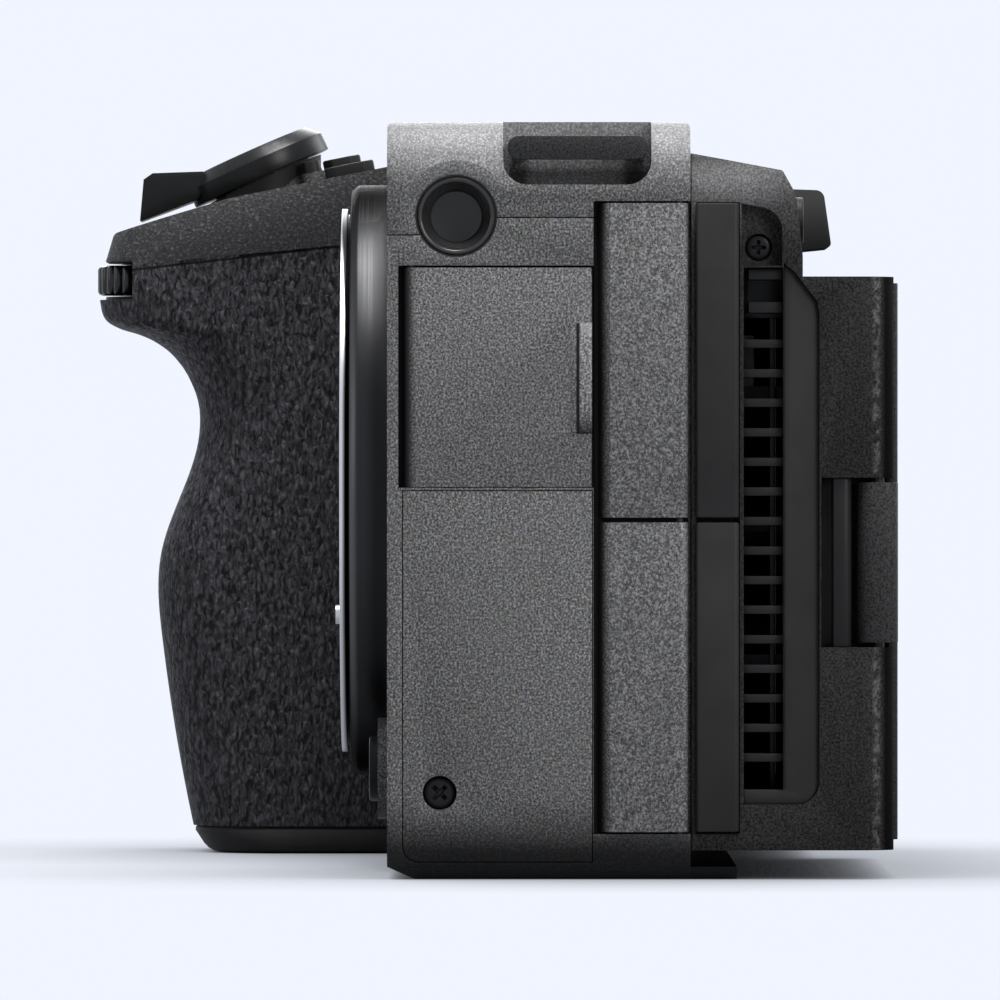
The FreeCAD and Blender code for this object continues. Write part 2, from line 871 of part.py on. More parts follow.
def mount_collar():
    """Black ring round the flange."""
    ring = mount_ring(
        [
            (collar_radius, front_y),
            (collar_radius, collar_y, -0.7),
            (flange_radius + fit, collar_y),
            (flange_radius + fit, front_y),
        ]
    )
    return ring


throat_length = 1.2
turning_radius = 24.3
claw_radius = 21.6
claw_thickness = 1.2
claw_y = flange_y + throat_length + 0.1
claw_span = 44.0
claw_starts = (20.0, 140.0, 260.0)
mount_screw_circle = 26.3
mount_screw_radius = 1.7
mount_screw_angles = (45.0, 135.0, 225.0, 315.0)
lock_room = rod((lock_x, flange_y - 1, lock_z), (0, 1, 0), lock_radius + fit, 9)


def mount_screw_place(angle):
    turn = math.radians(angle)
    return (mount_x + mount_screw_circle * math.cos(turn), mount_z + mount_screw_circle * math.sin(turn))


def bayonet_ring():
    """Bright flange with three claws inside its throat."""
    ring = mount_ring(
        [
            (throat_radius, flange_y),
            (flange_radius, flange_y),
            (flange_radius, flange_y + flange_lip),
            (flange_radius - flange_step, flange_y + flange_lip),
            (flange_radius - flange_step, front_y),
            (turning_radius, front_y),
            (turning_radius, flange_y + throat_length),
            (throat_radius, flange_y + throat_length),
        ]
    )
    claws = []
    for start in claw_starts:
        claw = Part.Face(
            outline(
                [
                    (claw_radius, 0),
                    (turning_radius + 1, 0),
                    (turning_radius + 1, claw_thickness),
                    (claw_radius, claw_thickness),
                ],
                lambda u, v: Vector(u, 0, v),
            )
        ).revolve(Vector(0, 0, 0), Vector(0, 0, 1), claw_span)
        claw.rotate(Vector(0, 0, 0), Vector(0, 0, 1), start)
        claw.Placement = Placement(
            Vector(mount_x, claw_y, mount_z), Rotation(Vector(0, 0, 1), Vector(0, 1, 0))
        ).multiply(claw.Placement)
        claws.append(claw)
    holes = [
        rod((x, flange_y - 1, z), (0, 1, 0), mount_screw_radius + 0.02, 2.0)
        for x, z in map(mount_screw_place, mount_screw_angles)
    ]
    return cut(joined([ring] + claws), holes + [lock_room])


def cross_screw(head, direction, radius, length):
    """Screw with a cross recess; head is the middle of its face, direction points into the work."""
    body = turned([(0, 0), (radius, 0), (radius, length), (0, length)], (0, 0, 0), (0, 0, 1))
    arm = radius * 0.6
    bars = [block((-arm, arm), (-0.22, 0.22), (-1, 0.5)), block((-0.22, 0.22), (-arm, arm), (-1, 0.5))]
    body = cut(body, bars)
    body.Placement = Placement(Vector(*head), Rotation(Vector(0, 0, 1), Vector(*direction)))
    return body


keep("mount_collar", mount_collar())
keep("bayonet_ring", bayonet_ring())
keep("lens_lock_pin", rod((lock_x, flange_y - lock_out, lock_z), (0, 1, 0), lock_radius, 6.0))


def release_button():
    """Lens release button: a round cap on a stem."""
    length = release_face + 2.6
    return turned(
        [(0, 0), (release_radius, 0), (release_radius, length), (0, length)],
        (release_x, front_y - release_face, release_z),
        (0, 1, 0),
    )


keep("lens_release_button", release_button())

# Imaging stack behind the mount
sensor_y = flange_y + sensor_distance
baffle_back = sensor_y - 3.2
glass_thickness = 1.2
sensor_thickness = 2.5
stage_thickness = 1.3
sensor_half = (21.0, 15.5)
glass_half = (19.5, 13.5)
stage_half = (22.0, 19.5)
slide_gap = 0.1
shift = 1.0
stage_y = sensor_y + sensor_thickness + slide_gap
chassis_y = stage_y + stage_thickness + slide_gap
chassis_thickness = 1.6
board_y = 12.6
board_thickness = 1.2


def around_mount(half_x, half_z, y0, y1):
    return block((mount_x - half_x, mount_x + half_x), (y0, y1), (mount_z - half_z, mount_z + half_z))


baffle_front = (19.5, 14.0)
baffle_window = (18.5, 12.7)
baffle_wall = 1.0
baffle_plate = 1.2


def light_baffle():
    """Plate behind the flange with a four-sided funnel towards the sensor."""
    plate = polygon_y((mount_x, mount_z), mount_bore - 0.1, 16, front_y, front_y + baffle_plate)

    def frame(half_x, half_z, y):
        corners = rectangle((mount_x - half_x, mount_x + half_x), (mount_z - half_z, mount_z + half_z))
        return outline(corners, lambda u, v: Vector(u, y, v))

    def funnel(grow, y0, y1):
        wide = frame(baffle_front[0] + grow, baffle_front[1] + grow, y0)
        narrow = frame(baffle_window[0] + grow, baffle_window[1] + grow, y1)
        return Part.makeLoft([wide, narrow], True, True)

    shape = plate.fuse(funnel(baffle_wall, front_y, baffle_back))
    return cut(shape, [funnel(0, front_y - 0.001, baffle_back + 0.001), socket(lock_room)])


contact_half = 8.5
contact_low = 21.2
contact_face = -12.7
contact_count = 10


def contact_block():
    """Shelf at the bottom of the throat with a row of spring contacts."""
    low = mount_z - contact_low
    shelf = block((mount_x - contact_half, mount_x + contact_half), (contact_face, front_y), (low, low + 2.6))
    pitch = 2 * (contact_half - 1.2) / (contact_count - 1)
    pins = []
    for i in range(contact_count):
        x = mount_x - contact_half + 1.2 + pitch * i
        pins.append(block((x - 0.4, x + 0.4), (contact_face - 0.8, contact_face + 1), (low + 0.9, low + 1.7)))
    return joined([shelf] + pins)


def stage():
    """Plate that carries the sensor between two lips, with an ear on each guide rail."""
    back = stage_y + stage_thickness
    plate = around_mount(stage_half[0], stage_half[1], stage_y, back)
    window = around_mount(15, 9, stage_y - 1, stage_y + 9)
    low = sensor_half[1] + slide_gap
    parts = [plate.cut(window)]
    rails = []
    for side in (-1, 1):
        lip = sorted((mount_z + side * low, mount_z + side * (low + 1.5)))
        parts.append(block((mount_x - 18, mount_x + 18), (sensor_y + 0.3, stage_y), lip))
        x = mount_x + side * rod_x
        arm = sorted((mount_x + side * (stage_half[0] - 2), x + side * ear_half))
        parts.append(block(arm, (stage_y, back), (mount_z - 4, mount_z + 4)))
        parts.append(block((x - ear_half, x + ear_half), (rod_y - 2.0, stage_y), (mount_z - 4, mount_z + 4)))
        reach = rod_half + fit
        rails.append(block((x - reach, x + reach), (rod_y - reach, rod_y + reach), (0, 90)))
    return cut(joined(parts), rails)


rod_x = 25.0
rod_y = sensor_y + 0.6
rod_half = 1.0
rod_reach = 8.5
ear_half = 2.1


def chassis():
    """Cast plate across the body with the stage's guide rails and the board's posts."""
    plate = block(
        (grip_inner_x + wall, port_side - port_wall),
        (chassis_y, chassis_y + chassis_thickness),
        (cover_bottom + wall, split_low - 1.0),
    )
    window = around_mount(14, 9, 0, 20)
    parts = [plate.cut(window)]
    for side in (-1, 1):
        x = mount_x + side * rod_x
        rail_z = (mount_z - rod_reach, mount_z + rod_reach)
        parts.append(block((x - rod_half, x + rod_half), (rod_y - rod_half, rod_y + rod_half), rail_z))
        for end in (-1, 1):
            zs = sorted((mount_z + end * (rod_reach - 1.6), mount_z + end * (rod_reach + 0.4)))
            parts.append(block((x - 1.6, x + 1.6), (rod_y - 1.4, chassis_y), zs))
    for x, z in board_posts:
        corners = rectangle((x - post_half, x + post_half), (z - post_half, z + post_half), 0)
        parts.append(prism_y(corners, chassis_y, board_y))
    return joined(parts)


post_half = 2.0
board_x = (grip_inner_x + 4.5, port_side - 14.4)
board_z = (8.0, body_top - 15.8)
post_inset = 4.0
board_posts = [
    (x, z)
    for x in (board_x[0] + post_inset, board_x[1] - post_inset)
    for z in (board_z[0] + post_inset, board_z[1] - post_inset)
]
# Chips on the board: offset from the lens axis, height of the lower edge, side
chip_list = ((-24.0, 30.0, 14.0), (-2.0, 28.0, 18.0), (-20.0, 48.0, 8.0), (22.0, 34.0, 9.0))
chip_height = 1.4


def main_board():
    board = block(board_x, (board_y, board_y + board_thickness), board_z)
    chips = [
        block((mount_x + x, mount_x + x + size), (board_y - chip_height, board_y), (z, z + size))
        for x, z, size in chip_list
    ]
    return joined([board] + chips)


sink_x = (mount_x - 32.0, mount_x + 14.0)
sink_z = (18.0, 54.0)
sink_base = 1.6
sink_depth = 7.0
fin_count = 10
fin_thickness = 1.0


def heat_sink():
    """Finned block on the back of the board."""
    face = board_y + board_thickness
    base = block(sink_x, (face, face + sink_base), sink_z)
    pitch = (sink_z[1] - sink_z[0] - fin_thickness) / (fin_count - 1)
    fins = [
        block(sink_x, (face + sink_base, face + sink_depth), (z, z + fin_thickness))
        for z in (sink_z[0] + pitch * i for i in range(fin_count))
    ]
    return joined([base] + fins)


keep("light_baffle", light_baffle())
keep("contact_block", contact_block())
keep(
    "sensor_glass", around_mount(glass_half[0], glass_half[1], sensor_y - glass_thickness, sensor_y)
)
keep("sensor_package", around_mount(sensor_half[0], sensor_half[1], sensor_y, sensor_y + sensor_thickness))
keep("stabiliser_stage", stage())
keep("chassis", chassis())
keep("main_board", main_board())
keep("heat_sink", heat_sink())

# Rear cover
rear_bottom = 3.0
rear_top = (body_top - 3.3, body_top - 5.1)
rear_crest_y = 30.85
pocket_floor = 35.6
thumb_face = 36.6
flank_y = 42.3
flank_round = 3.6
flank_top = body_top - 16.0
flank_inner = rear_side - 4.1
monitor_left = rear_side - 4.8
monitor_right = grip_inner_x + 18.5
monitor_y = (36.2, 42.8)
monitor_z = (4.0, flank_top - 0.6)
monitor_gap = 0.8
hinge_x = rear_side - 2.3
hinge_y = 40.7
hinge_z = (24.3, 40.7)
hinge_notch = 0.5
hinge_barrel_y = (36.0, 37.9)
monitor_pin_radius = 0.6
monitor_pin_bite = 2.5
vent_y = (26.85, 30.9)
vent_z = (9.2, flank_top + 0.9)
vent_depth = 6.0
rib_thickness = 0.85
rib_top = flank_top - 4.65
rib_count = 15
rib_pitch = (rib_top - vent_z[0] - 5.52) / (rib_count - 1)
blind_ribs = (vent_z[1] - 0.1, vent_z[1] - 3.5)
frame_y = 34.6
frame_bottom = 7.7
frame_face = rear_side - 0.5
frame_thickness = 1.6
rear_screw = (28.4, flank_top + 3.0)
fan_x = rear_side - 20.0
fan_z = 36.0
fan_radius = 13.0
fan_y = (24.0, 33.4)
wheel_x = starboard_side + 22.85
wheel_z = 27.0
wheel_radius = 12.4
wheel_inner = 6.05
wheel_lift = 1.0
wheel_thickness = 2.3
centre_radius = 4.6
centre_lift = 1.4
small_button_travel = 0.4
stick_x = grip_inner_x + 7.5
stick_z = flank_top - 7.3
rear_dial_x = grip_inner_x + 1.5
rear_dial_y = 27.7
rear_dial_z = flank_top + 3.2
rear_dial_radius = 6.2
rear_dial_height = 3.6
card_y = (grip_back_y + 1.6, grip_back_y + 15.6)
card_z = (18.0, flank_top - 1.8)
card_thickness = 1.8

frame_outline = [
    (vent_y[1] + 0.05, vent_z[1] + 0.5),
    (vent_y[1] + 1.1, vent_z[1] - 0.4),
    (frame_y - 0.2, vent_z[1] - 3.5),
    (frame_y, vent_z[1] - 4.7),
    (frame_y, frame_bottom, 2.3),
    (vent_y[0], frame_bottom),
    (vent_y[0], vent_z[0]),
    (vent_y[1] + 0.05, vent_z[0]),
]


pocket_outline = (
    (26.6, vent_z[1] + 0.2),
    (30.8, vent_z[1] + 0.2),
    (30.8, vent_z[1] + 5.8, 2.4),
    (26.6, vent_z[1] + 6.6),
)
rest_outline = (
    (29.4, body_top - 4.3),
    (37.7, body_top - 4.6, 1.0),
    (38.6, body_top - 10.9, 0.5),
    (29.4, body_top - 11.8),
)


def vent_frame():
    return prism_x(frame_outline, frame_face - frame_thickness, frame_face)


def vent_grille():
    """Horizontal ribs in front of the duct, tied by an upright fin."""
    inner = rear_side - vent_depth
    ribs = [
        block((inner, frame_face - 0.6), (vent_y[0], vent_y[1]), (top - rib_thickness, top))
        for top in [rib_top - rib_pitch * i - 1.8 for i in range(rib_count)]
    ]
    blind = [
        block((inner, frame_face - 0.6), (vent_y[0] + 0.5, vent_y[1]), (top - 1.1, top)) for top in blind_ribs
    ]
    fin = block((inner, inner + 0.8), (29.6, 30.2), vent_z)
    plate = block((inner, inner + 1.2), vent_y, (rib_top + 0.45, vent_z[1]))
    return joined([fin, plate] + ribs + blind)


def wheel_seat():
    """Round groove for the control wheel, with a post left in its middle."""
    depth = wheel_thickness - wheel_lift + 0.1
    ring = rod((wheel_x, thumb_face + 1, wheel_z), (0, -1, 0), wheel_radius + 0.15, 1 + depth)
    post = rod((wheel_x, thumb_face + 1, wheel_z), (0, -1, 0), wheel_inner - fit, 9)
    return ring.cut(post)


def rear_button_room(x, z, radius, face, depth=3.2):
    return rod((x, face + 6, z), (0, -1, 0), radius + fit, 6 + depth)


rear_buttons = {
    "menu_button": (port_side - 14.4, flank_top + 6.0, 2.4, 32.45),
    "play_button": (starboard_side + 6.65, 9.2, 2.3, thumb_face),
    "function_button": (stick_x + 0.5, stick_z - 10.5, 2.6, thumb_face),
}


def rear_cover():
    """Rear shell: sloped shoulder, thumb rest, monitor bay with its flank, duct mouth and control seats."""
    shoulder = prism_x(
        [
            (seam_y + 0.1, flank_top - 1.8),
            (32.9, flank_top - 1.8),
            (32.9, flank_top + 2.2, 6),
            (32.2, flank_top + 8.4, 3),
            (rear_crest_y, rear_top[1], 0.4),
            (seam_y + 0.1, rear_top[0]),
        ],
        starboard_side,
        rear_side,
    )
    section = prism_y(
        [
            (starboard_side, 0),
            (rear_side, 0),
            (rear_side, rear_top[0] + 0.6, edge_round - 1.5),
            (starboard_side, rear_top[0] + 0.6, edge_round - 1.5),
        ],
        0,
        60,
    )
    lower = prism_z(
        [
            (starboard_side, seam_y + 0.1),
            (starboard_side, thumb_face, 5),
            (monitor_right - monitor_gap, thumb_face, 0.5),
            (monitor_right - monitor_gap, pocket_floor),
            (flank_inner, pocket_floor),
            (flank_inner, flank_y, 0.4),
            (rear_side, flank_y, flank_round),
            (rear_side, seam_y + 0.1),
        ],
        rear_bottom,
        flank_top,
    )
    back_block = block(
        (starboard_side, grip_inner_x), (grip_back_y + 0.1, seam_y + 0.2), (rear_bottom, split_high - 0.12)
    )
    rest = prism_x(rest_outline, starboard_side + 3.5, starboard_side + 19)
    shape = joined([shoulder.common(section), lower, back_block, rest])
    floor = rear_bottom + wall
    port_room = rear_side - port_wall
    rooms = [
        block((grip_inner_x, port_room), (seam_y - 1, fan_y[1]), (floor, flank_top - 2)),
        block((grip_inner_x, port_room), (seam_y - 1, 30.0), (flank_top - 3, flank_top + 8.2)),
        block((starboard_side + 3, grip_inner_x + 1), (card_y[0], card_y[1] - 0.2), (floor, flank_top)),
    ]
    card_inner = (card_y[0] + 1.2, card_y[1] - 1.2)
    card_heights = (card_z[0] + 1.2, card_z[1] - 1.2)
    card_mouth = block((starboard_side - 1, starboard_side + 4), card_inner, card_heights)
    card_recess = block(
        (starboard_side - 1, starboard_side + card_thickness + 0.1),
        (card_y[0] - door_gap, card_y[1] + panel_gap),
        (card_z[0] - panel_gap, card_z[1] + panel_gap),
    )
    duct = block((rear_side - vent_depth, 90), vent_y, vent_z)
    frame_room = prism_x(frame_outline, frame_face - frame_thickness, 90)
    strip_room = block((door_side - 2.0, 90), strip_y, (lower_z[0] - 0.2, upper_z[1] + 0.1))
    hinge_span = (hinge_z[0] - hinge_notch, hinge_z[1] + hinge_notch)
    hinge_room = block((flank_inner, 90), (frame_y + 0.2, 90), hinge_span)
    stick_room = rod((stick_x, thumb_face + 1, stick_z), (0, -1, 0), stick_well, 7.0)
    stick_sockets = socket(rod((stick_x - 6, stick_y, stick_z), (1, 0, 0), stick_pin, 12))
    slot_reach = rear_dial_radius + 0.3
    dial_slot = block(
        (rear_dial_x - slot_reach, rear_dial_x + slot_reach),
        (rear_dial_y - slot_reach, 60),
        (rear_dial_z - 0.25, rear_dial_z + rear_dial_height + 0.25),
    )
    dial_axle = socket(
        rod(
            (rear_dial_x, rear_dial_y, rear_dial_z - rear_axle_reach - 0.1),
            (0, 0, 1),
            axle_radius + fit,
            rear_dial_height + 2 * rear_axle_reach + 0.2,
        )
    )
    screw_pocket = prism_x(pocket_outline, frame_face - 1.1, 90)
    screw_room = rod((90, rear_screw[0], rear_screw[1]), (-1, 0, 0), 1.4, 90 - frame_face + 2.6)
    cradle = block(
        (rear_dial_x - rear_dial_radius - 1.4, rear_dial_x + rear_dial_radius + 1.4),
        (seam_y + 0.1, 31),
        (rear_dial_z - 2.2, rear_dial_z + rear_dial_height + 2.2),
    )
    shape = cut(shape, rooms).fuse(cradle)
    button_rooms = [rear_button_room(*place) for place in rear_buttons.values()]
    tools = [card_mouth, card_recess, duct, frame_room, strip_room, hinge_room, socket(monitor_pin)]
    tools += [stick_room, stick_sockets, dial_slot, dial_axle, screw_pocket, screw_room, wheel_seat()]
    tools += [socket(card_pin)]
    return cut(shape, tools + [centre_room] + button_rooms)


monitor_pin = rod(
    (hinge_x, hinge_y, hinge_z[0] - monitor_pin_bite),
    (0, 0, 1),
    monitor_pin_radius,
    hinge_z[1] - hinge_z[0] + 2 * monitor_pin_bite,
)
rear_axle_reach = 1.2
stick_well = 4.3
stick_y = 33.4
stick_pin = 0.5
card_axis = (starboard_side + card_thickness / 2, card_y[0] + card_thickness / 2)
card_pin = rod(
    (card_axis[0], card_axis[1], card_z[0] - pin_bite),
    (0, 0, 1),
    hinge_pin_radius,
    card_z[1] - card_z[0] + 2 * pin_bite,
)
centre_room = rod((wheel_x, thumb_face + 6, wheel_z), (0, -1, 0), centre_radius + fit, 6 + 2.4)
keep("rear_cover", rear_cover())
keep("vent_frame", vent_frame())
keep("vent_grille", vent_grille())
keep(
    "door_strips",
    *[
        prism_z(
            [
                (door_side - 2.0, strip_y[0]),
                (door_side - 0.1, strip_y[0], 0.3),
                (door_side - 0.1, strip_y[1] - 0.1, 0.5),
                (door_side - 2.0, strip_y[1] - 0.1),
            ],
            zs[0],
            zs[1],
        )
        for zs in (upper_z, lower_z)
    ],
)


def card_door():
    """Door over the card slots, hinged at its front edge."""
    outer = starboard_side
    inner = starboard_side + card_thickness
    plate = prism_z(
        [(inner, card_axis[1]), (outer, card_axis[1]), (outer, card_y[1], -0.4), (inner, card_y[1])],
        card_z[0],
        card_z[1],
    )
    knuckle = rod((*card_axis, card_z[0]), (0, 0, 1), card_thickness / 2, card_z[1] - card_z[0])
    pin_room = rod((card_axis[0], card_axis[1], 0), (0, 0, 1), hinge_pin_radius + fit, 90)
    return joined([plate, knuckle]).cut(pin_room)


def card_slots():
    """Two card cages side by side, with open mouths towards the card door."""
    back = grip_inner_x - 0.3
    heights = (card_z[0] + cage_inset, card_z[1] - cage_inset)
    cage = block((starboard_side + 3.0, back), (card_y[0] + 1.6, card_y[1] - 0.8), heights)
    mouth_z = (heights[0] + cage_inset, heights[0] + cage_inset + card_length)
    mouths = [
        block((starboard_side + 2.0, back - 1.5), (y, y + card_gap), mouth_z)
        for y in (card_y[0] + 3.2, card_y[0] + 8.2)
    ]
    return cut(cage, mouths)


cage_inset = 3.0
card_length = 26.0
card_gap = 2.4


keep("card_door", card_door())
keep("card_slots", card_slots())
keep("hinge_pins", audio_pin, data_pin, card_pin, cell_pin)


def fan_housing():
    """Square housing open towards the heat sink and towards the duct."""
    xs = (fan_x - fan_radius - 1.6, rear_side - vent_depth)
    zs = (fan_z - fan_radius - 1.6, fan_z + fan_radius + 1.6)
    box = block(xs, fan_y, zs)
    drum = polygon_y((fan_x, fan_z), fan_radius + 0.8, 16, fan_y[0] - 1, fan_y[1] - 1.4)
    outlet = block((fan_x, 90), (vent_y[0], vent_y[1]), (fan_z - fan_radius, fan_z + fan_radius))
    pin = rod((fan_x, fan_y[0] + 1, fan_z), (0, 1, 0), 1.0, fan_y[1] - fan_y[0] - 1.5)
    return cut(box, [drum, outlet]).fuse(pin)


def fan_rotor():
    """Hub with flat blades, turning on the housing's pin."""
    front = fan_y[0] + 1.2
    hub = rod((fan_x, front, fan_z), (0, 1, 0), fan_hub, blade_length)
    blades = []
    for i in range(blade_count):
        reach = (fan_hub - 1, fan_radius - 0.4)
        blade = block(reach, (front, front + blade_length), (-blade_half, blade_half))
        blade.rotate(Vector(0, 0, 0), Vector(0, 1, 0), 360.0 * i / blade_count)
        blade.translate(Vector(fan_x, 0, fan_z))
        blades.append(blade)
    bore = rod((fan_x, 0, fan_z), (0, 1, 0), 1.0 + fit, 60)
    return joined([hub] + blades).cut(bore)


blade_count = 9
blade_length = 6.4
blade_half = 0.35
fan_hub = 5.5
keep("fan_housing", fan_housing())
keep("fan_rotor", fan_rotor())


# Monitor
def monitor_shell():
    """Shallow tray that holds the screen, with a seat for the hinge's shaft."""
    shell = prism_z(
        rectangle((monitor_right, monitor_left), monitor_y, 1.4), monitor_z[0], monitor_z[1]
    )
    heights = (monitor_z[0] + 4, monitor_z[1] - 4)
    screen_room = block((monitor_right + 4, monitor_left - 5), (monitor_y[1] - screen_depth, 90), heights)
    return cut(shell, [screen_room, socket(tilt_shaft)])


screen_depth = 1.0
shaft_radius = 1.1
hinge_middle = (hinge_z[0] + hinge_z[1]) / 2
tilt_shaft = rod((monitor_left - 3, hinge_y - 1.0, hinge_middle), (1, 0, 0), shaft_radius, 4.2)


def hinge_block():
    """Swinging block of the monitor's hinge, with the short shaft that the panel sits on."""
    back = hinge_y + 2.0
    swing = 2.2
    body = prism_z(
        [
            (hinge_x - swing, hinge_y - swing, 2.1),
            (hinge_x + swing, hinge_y - swing, 2.1),
            (hinge_x + swing, back, 1.5),
            (hinge_x - swing, back, 1.0),
        ],
        hinge_z[0],
        hinge_z[1],
    )
    pin_room = rod((hinge_x, hinge_y, 0), (0, 0, 1), monitor_pin_radius + fit, 90)
    return joined([body, tilt_shaft]).cut(pin_room)


def hinge_base():
    """Fixed half-round barrel behind the swinging block."""
    return prism_z(
        [
            (flank_inner, frame_y + 0.2),
            (rear_side - 1.5, frame_y + 0.2),
            (rear_side - 1.5, hinge_barrel_y[0]),
            (rear_side - 0.3, hinge_barrel_y[0]),
            (rear_side - 0.3, hinge_barrel_y[1], 0.8),
            (flank_inner, hinge_barrel_y[1]),
        ],
        hinge_z[0] - hinge_notch,
        hinge_z[1] + hinge_notch,
    )


keep("monitor_shell", monitor_shell())
keep(
    "monitor_screen",
    block(
        (monitor_right + 4.05, monitor_left - 5.05),
        (monitor_y[1] - screen_depth, monitor_y[1] - 0.1),
        (monitor_z[0] + 4.05, monitor_z[1] - 4.05),
    ),
)
keep("monitor_hinge_block", hinge_block())
keep("monitor_hinge_base", hinge_base())
keep("monitor_hinge_pin", monitor_pin)


# Controls on the grip's roof
def zoom_lever():
    """Ring with a bevelled shoulder, and the finger tab in front of it."""
    profile = [
        (hub_radius + fit, -ring_half),
        (ring_radius, -ring_half),
        (ring_radius, ring_shoulder),
        (ring_top_radius, ring_half),
        (hub_radius + fit, ring_half),
    ]
    ring = turned(profile, tuple(ring_centre), tuple(ring_axis))
    corners = [(ring_y + y, ring_z + z) for y, z in tab_outline]
    tab = prism_x(corners, ring_x - tab_half_width, ring_x + tab_half_width)
    return joined([ring, tab])


keep("zoom_lever", zoom_lever())
keep(
    "record_button",
    turned(
        [(0, 0), (record_radius, 0), (record_radius, record_height), (0, record_height)],
        tuple(on_ring(record_base)),
        tuple(ring_axis),
    ),
)
keep("iso_button", on_roof(roof_button(iso_size[0], iso_size[1], -button_stem, iso_size[2]), *iso_place))
iris_top = iris_plinth + iris_size[2]
keep("iris_button", on_roof(roof_button(iris_size[0], iris_size[1], -button_stem, iris_top), *iris_place))
balance = Part.makeCylinder(wb_radius, wb_height + button_stem, Vector(0, 0, -button_stem))
keep("balance_button", on_roof(balance, *wb_place))


def dial(radius, height, teeth, place, reach):
    """Knurled wheel fused with its upright axle."""
    x, y, z = place
    wheel = knurled(radius, height, teeth, 0.45, place, (0, 0, 1), axle_radius)
    return wheel.fuse(rod((x, y, z - reach), (0, 0, 1), axle_radius, height + 2 * reach)).removeSplitter()


keep("front_dial", dial(dial_radius, dial_height, 22, (dial_x, dial_y, dial_z), 1.5))
keep(
    "rear_dial",
    dial(rear_dial_radius, rear_dial_height, 18, (rear_dial_x, rear_dial_y, rear_dial_z), rear_axle_reach),
)


def power_switch():
    """Round lever with a tab, on a pin in the top cover."""
    disc = turned(
        [(0, 0.1), (switch_radius, 0.1), (switch_radius, switch_height), (0, switch_height)],
        (switch_x, switch_y, body_top),
        (0, 0, 1),
    )
    heights = (body_top + 0.1, body_top + 1.9)
    tab = block((switch_x - switch_tab, switch_x), (switch_y - 1.4, switch_y + 1.4), heights)
    pin = rod((switch_x, switch_y, body_top - 2.9), (0, 0, 1), switch_pin, 3.5)
    return joined([disc, tab, pin])


keep("power_switch", power_switch())
keep("tally_lamp", block(lamp_x, lamp_y, (body_top - lamp_depth, body_top + 0.1)))


def accessory_shoe():
    """Channel with inward lips, closed at the front."""
    half_slot = shoe_slot / 2
    half_mouth = shoe_mouth / 2
    channel = prism_y(
        [
            (mount_x - shoe_half, shoe_base),
            (mount_x + shoe_half, shoe_base),
            (mount_x + shoe_half, body_top),
            (mount_x + half_mouth, body_top),
            (mount_x + half_mouth, body_top - shoe_lip),
            (mount_x + half_slot, body_top - shoe_lip),
            (mount_x + half_slot, shoe_floor),
            (mount_x - half_slot, shoe_floor),
            (mount_x - half_slot, body_top - shoe_lip),
            (mount_x - half_mouth, body_top - shoe_lip),
            (mount_x - half_mouth, body_top),
            (mount_x - shoe_half, body_top),
        ],
        shoe_y[0],
        shoe_y[1],
    )
    stop_y = (shoe_y[0], shoe_y[0] + 1.2)
    stop = block((mount_x - shoe_half, mount_x + shoe_half), stop_y, (shoe_base, body_top))
    return joined([channel, stop])


keep("accessory_shoe", accessory_shoe())


# Controls at the back
def control_wheel():
    base = (wheel_x, thumb_face + wheel_lift - wheel_thickness, wheel_z)
    return knurled(wheel_radius, wheel_thickness, 20, 0.35, base, (0, 1, 0), wheel_inner)


keep("control_wheel", control_wheel())
keep(
    "centre_button",
    rod((wheel_x, thumb_face - 1.9, wheel_z), (0, 1, 0), centre_radius, 1.9 + centre_lift),
)
for name, (x, z, radius, face) in rear_buttons.items():
    keep(name, rod((x, face - 2.7, z), (0, 1, 0), radius, 3.5))


def joystick_gimbal():
    """Frame on two level pins; the joystick's own pins sit in it, upright."""
    outer = rectangle((stick_x - 2.9, stick_x + 2.9), (stick_z - 2.9, stick_z + 2.9), -0.9)
    frame = prism_y(outer, stick_y - 1, stick_y + 1)
    window = block((stick_x - 1.9, stick_x + 1.9), (stick_y - 2, stick_y + 2), (stick_z - 2.0, stick_z + 2.0))
    pins = [
        rod((stick_x + side * 2.5, stick_y, stick_z), (side, 0, 0), stick_pin - fit, 2.9)
        for side in (-1, 1)
    ]
    sockets = socket(rod((stick_x, stick_y, stick_z - 5), (0, 0, 1), stick_pin, 10))
    return joined([frame.cut(window)] + pins).cut(sockets)


def joystick():
    """Round cap on a square stem, with upright pins that sit in the gimbal."""
    stem = block(
        (stick_x - stem_half, stick_x + stem_half),
        (stick_y - 1.4, stick_y + 3.6),
        (stick_z - stem_half, stick_z + stem_half),
    )
    cap = rod((stick_x, stick_y + 3.5, stick_z), (0, 1, 0), 3.4, 1.5)
    pin = rod((stick_x, stick_y, stick_z - 2.8), (0, 0, 1), stick_pin - fit, 5.6)
    return joined([stem, cap, pin])


stem_half = 1.3
keep("joystick_gimbal", joystick_gimbal())
keep("joystick", joystick())

# Screws that show: four in the flange, one in the side panel, one beside the vent
keep(
    "screws",
    *[
        cross_screw((x, flange_y, z), (0, 1, 0), mount_screw_radius, 1.0)
        for x, z in map(mount_screw_place, mount_screw_angles)
    ],
    cross_screw((port_side - screw_sunk, panel_screw[0], panel_screw[1]), (-1, 0, 0), screw_radius, 0.9),
    cross_screw((frame_face - 1.3, rear_screw[0], rear_screw[1]), (-1, 0, 0), 1.4, 1.3),
)

for name, shape in nodes.items():
    shape.exportStep("parts/" + name + ".step")
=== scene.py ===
import math

import bmesh
import bpy
from mathutils import Matrix, Vector

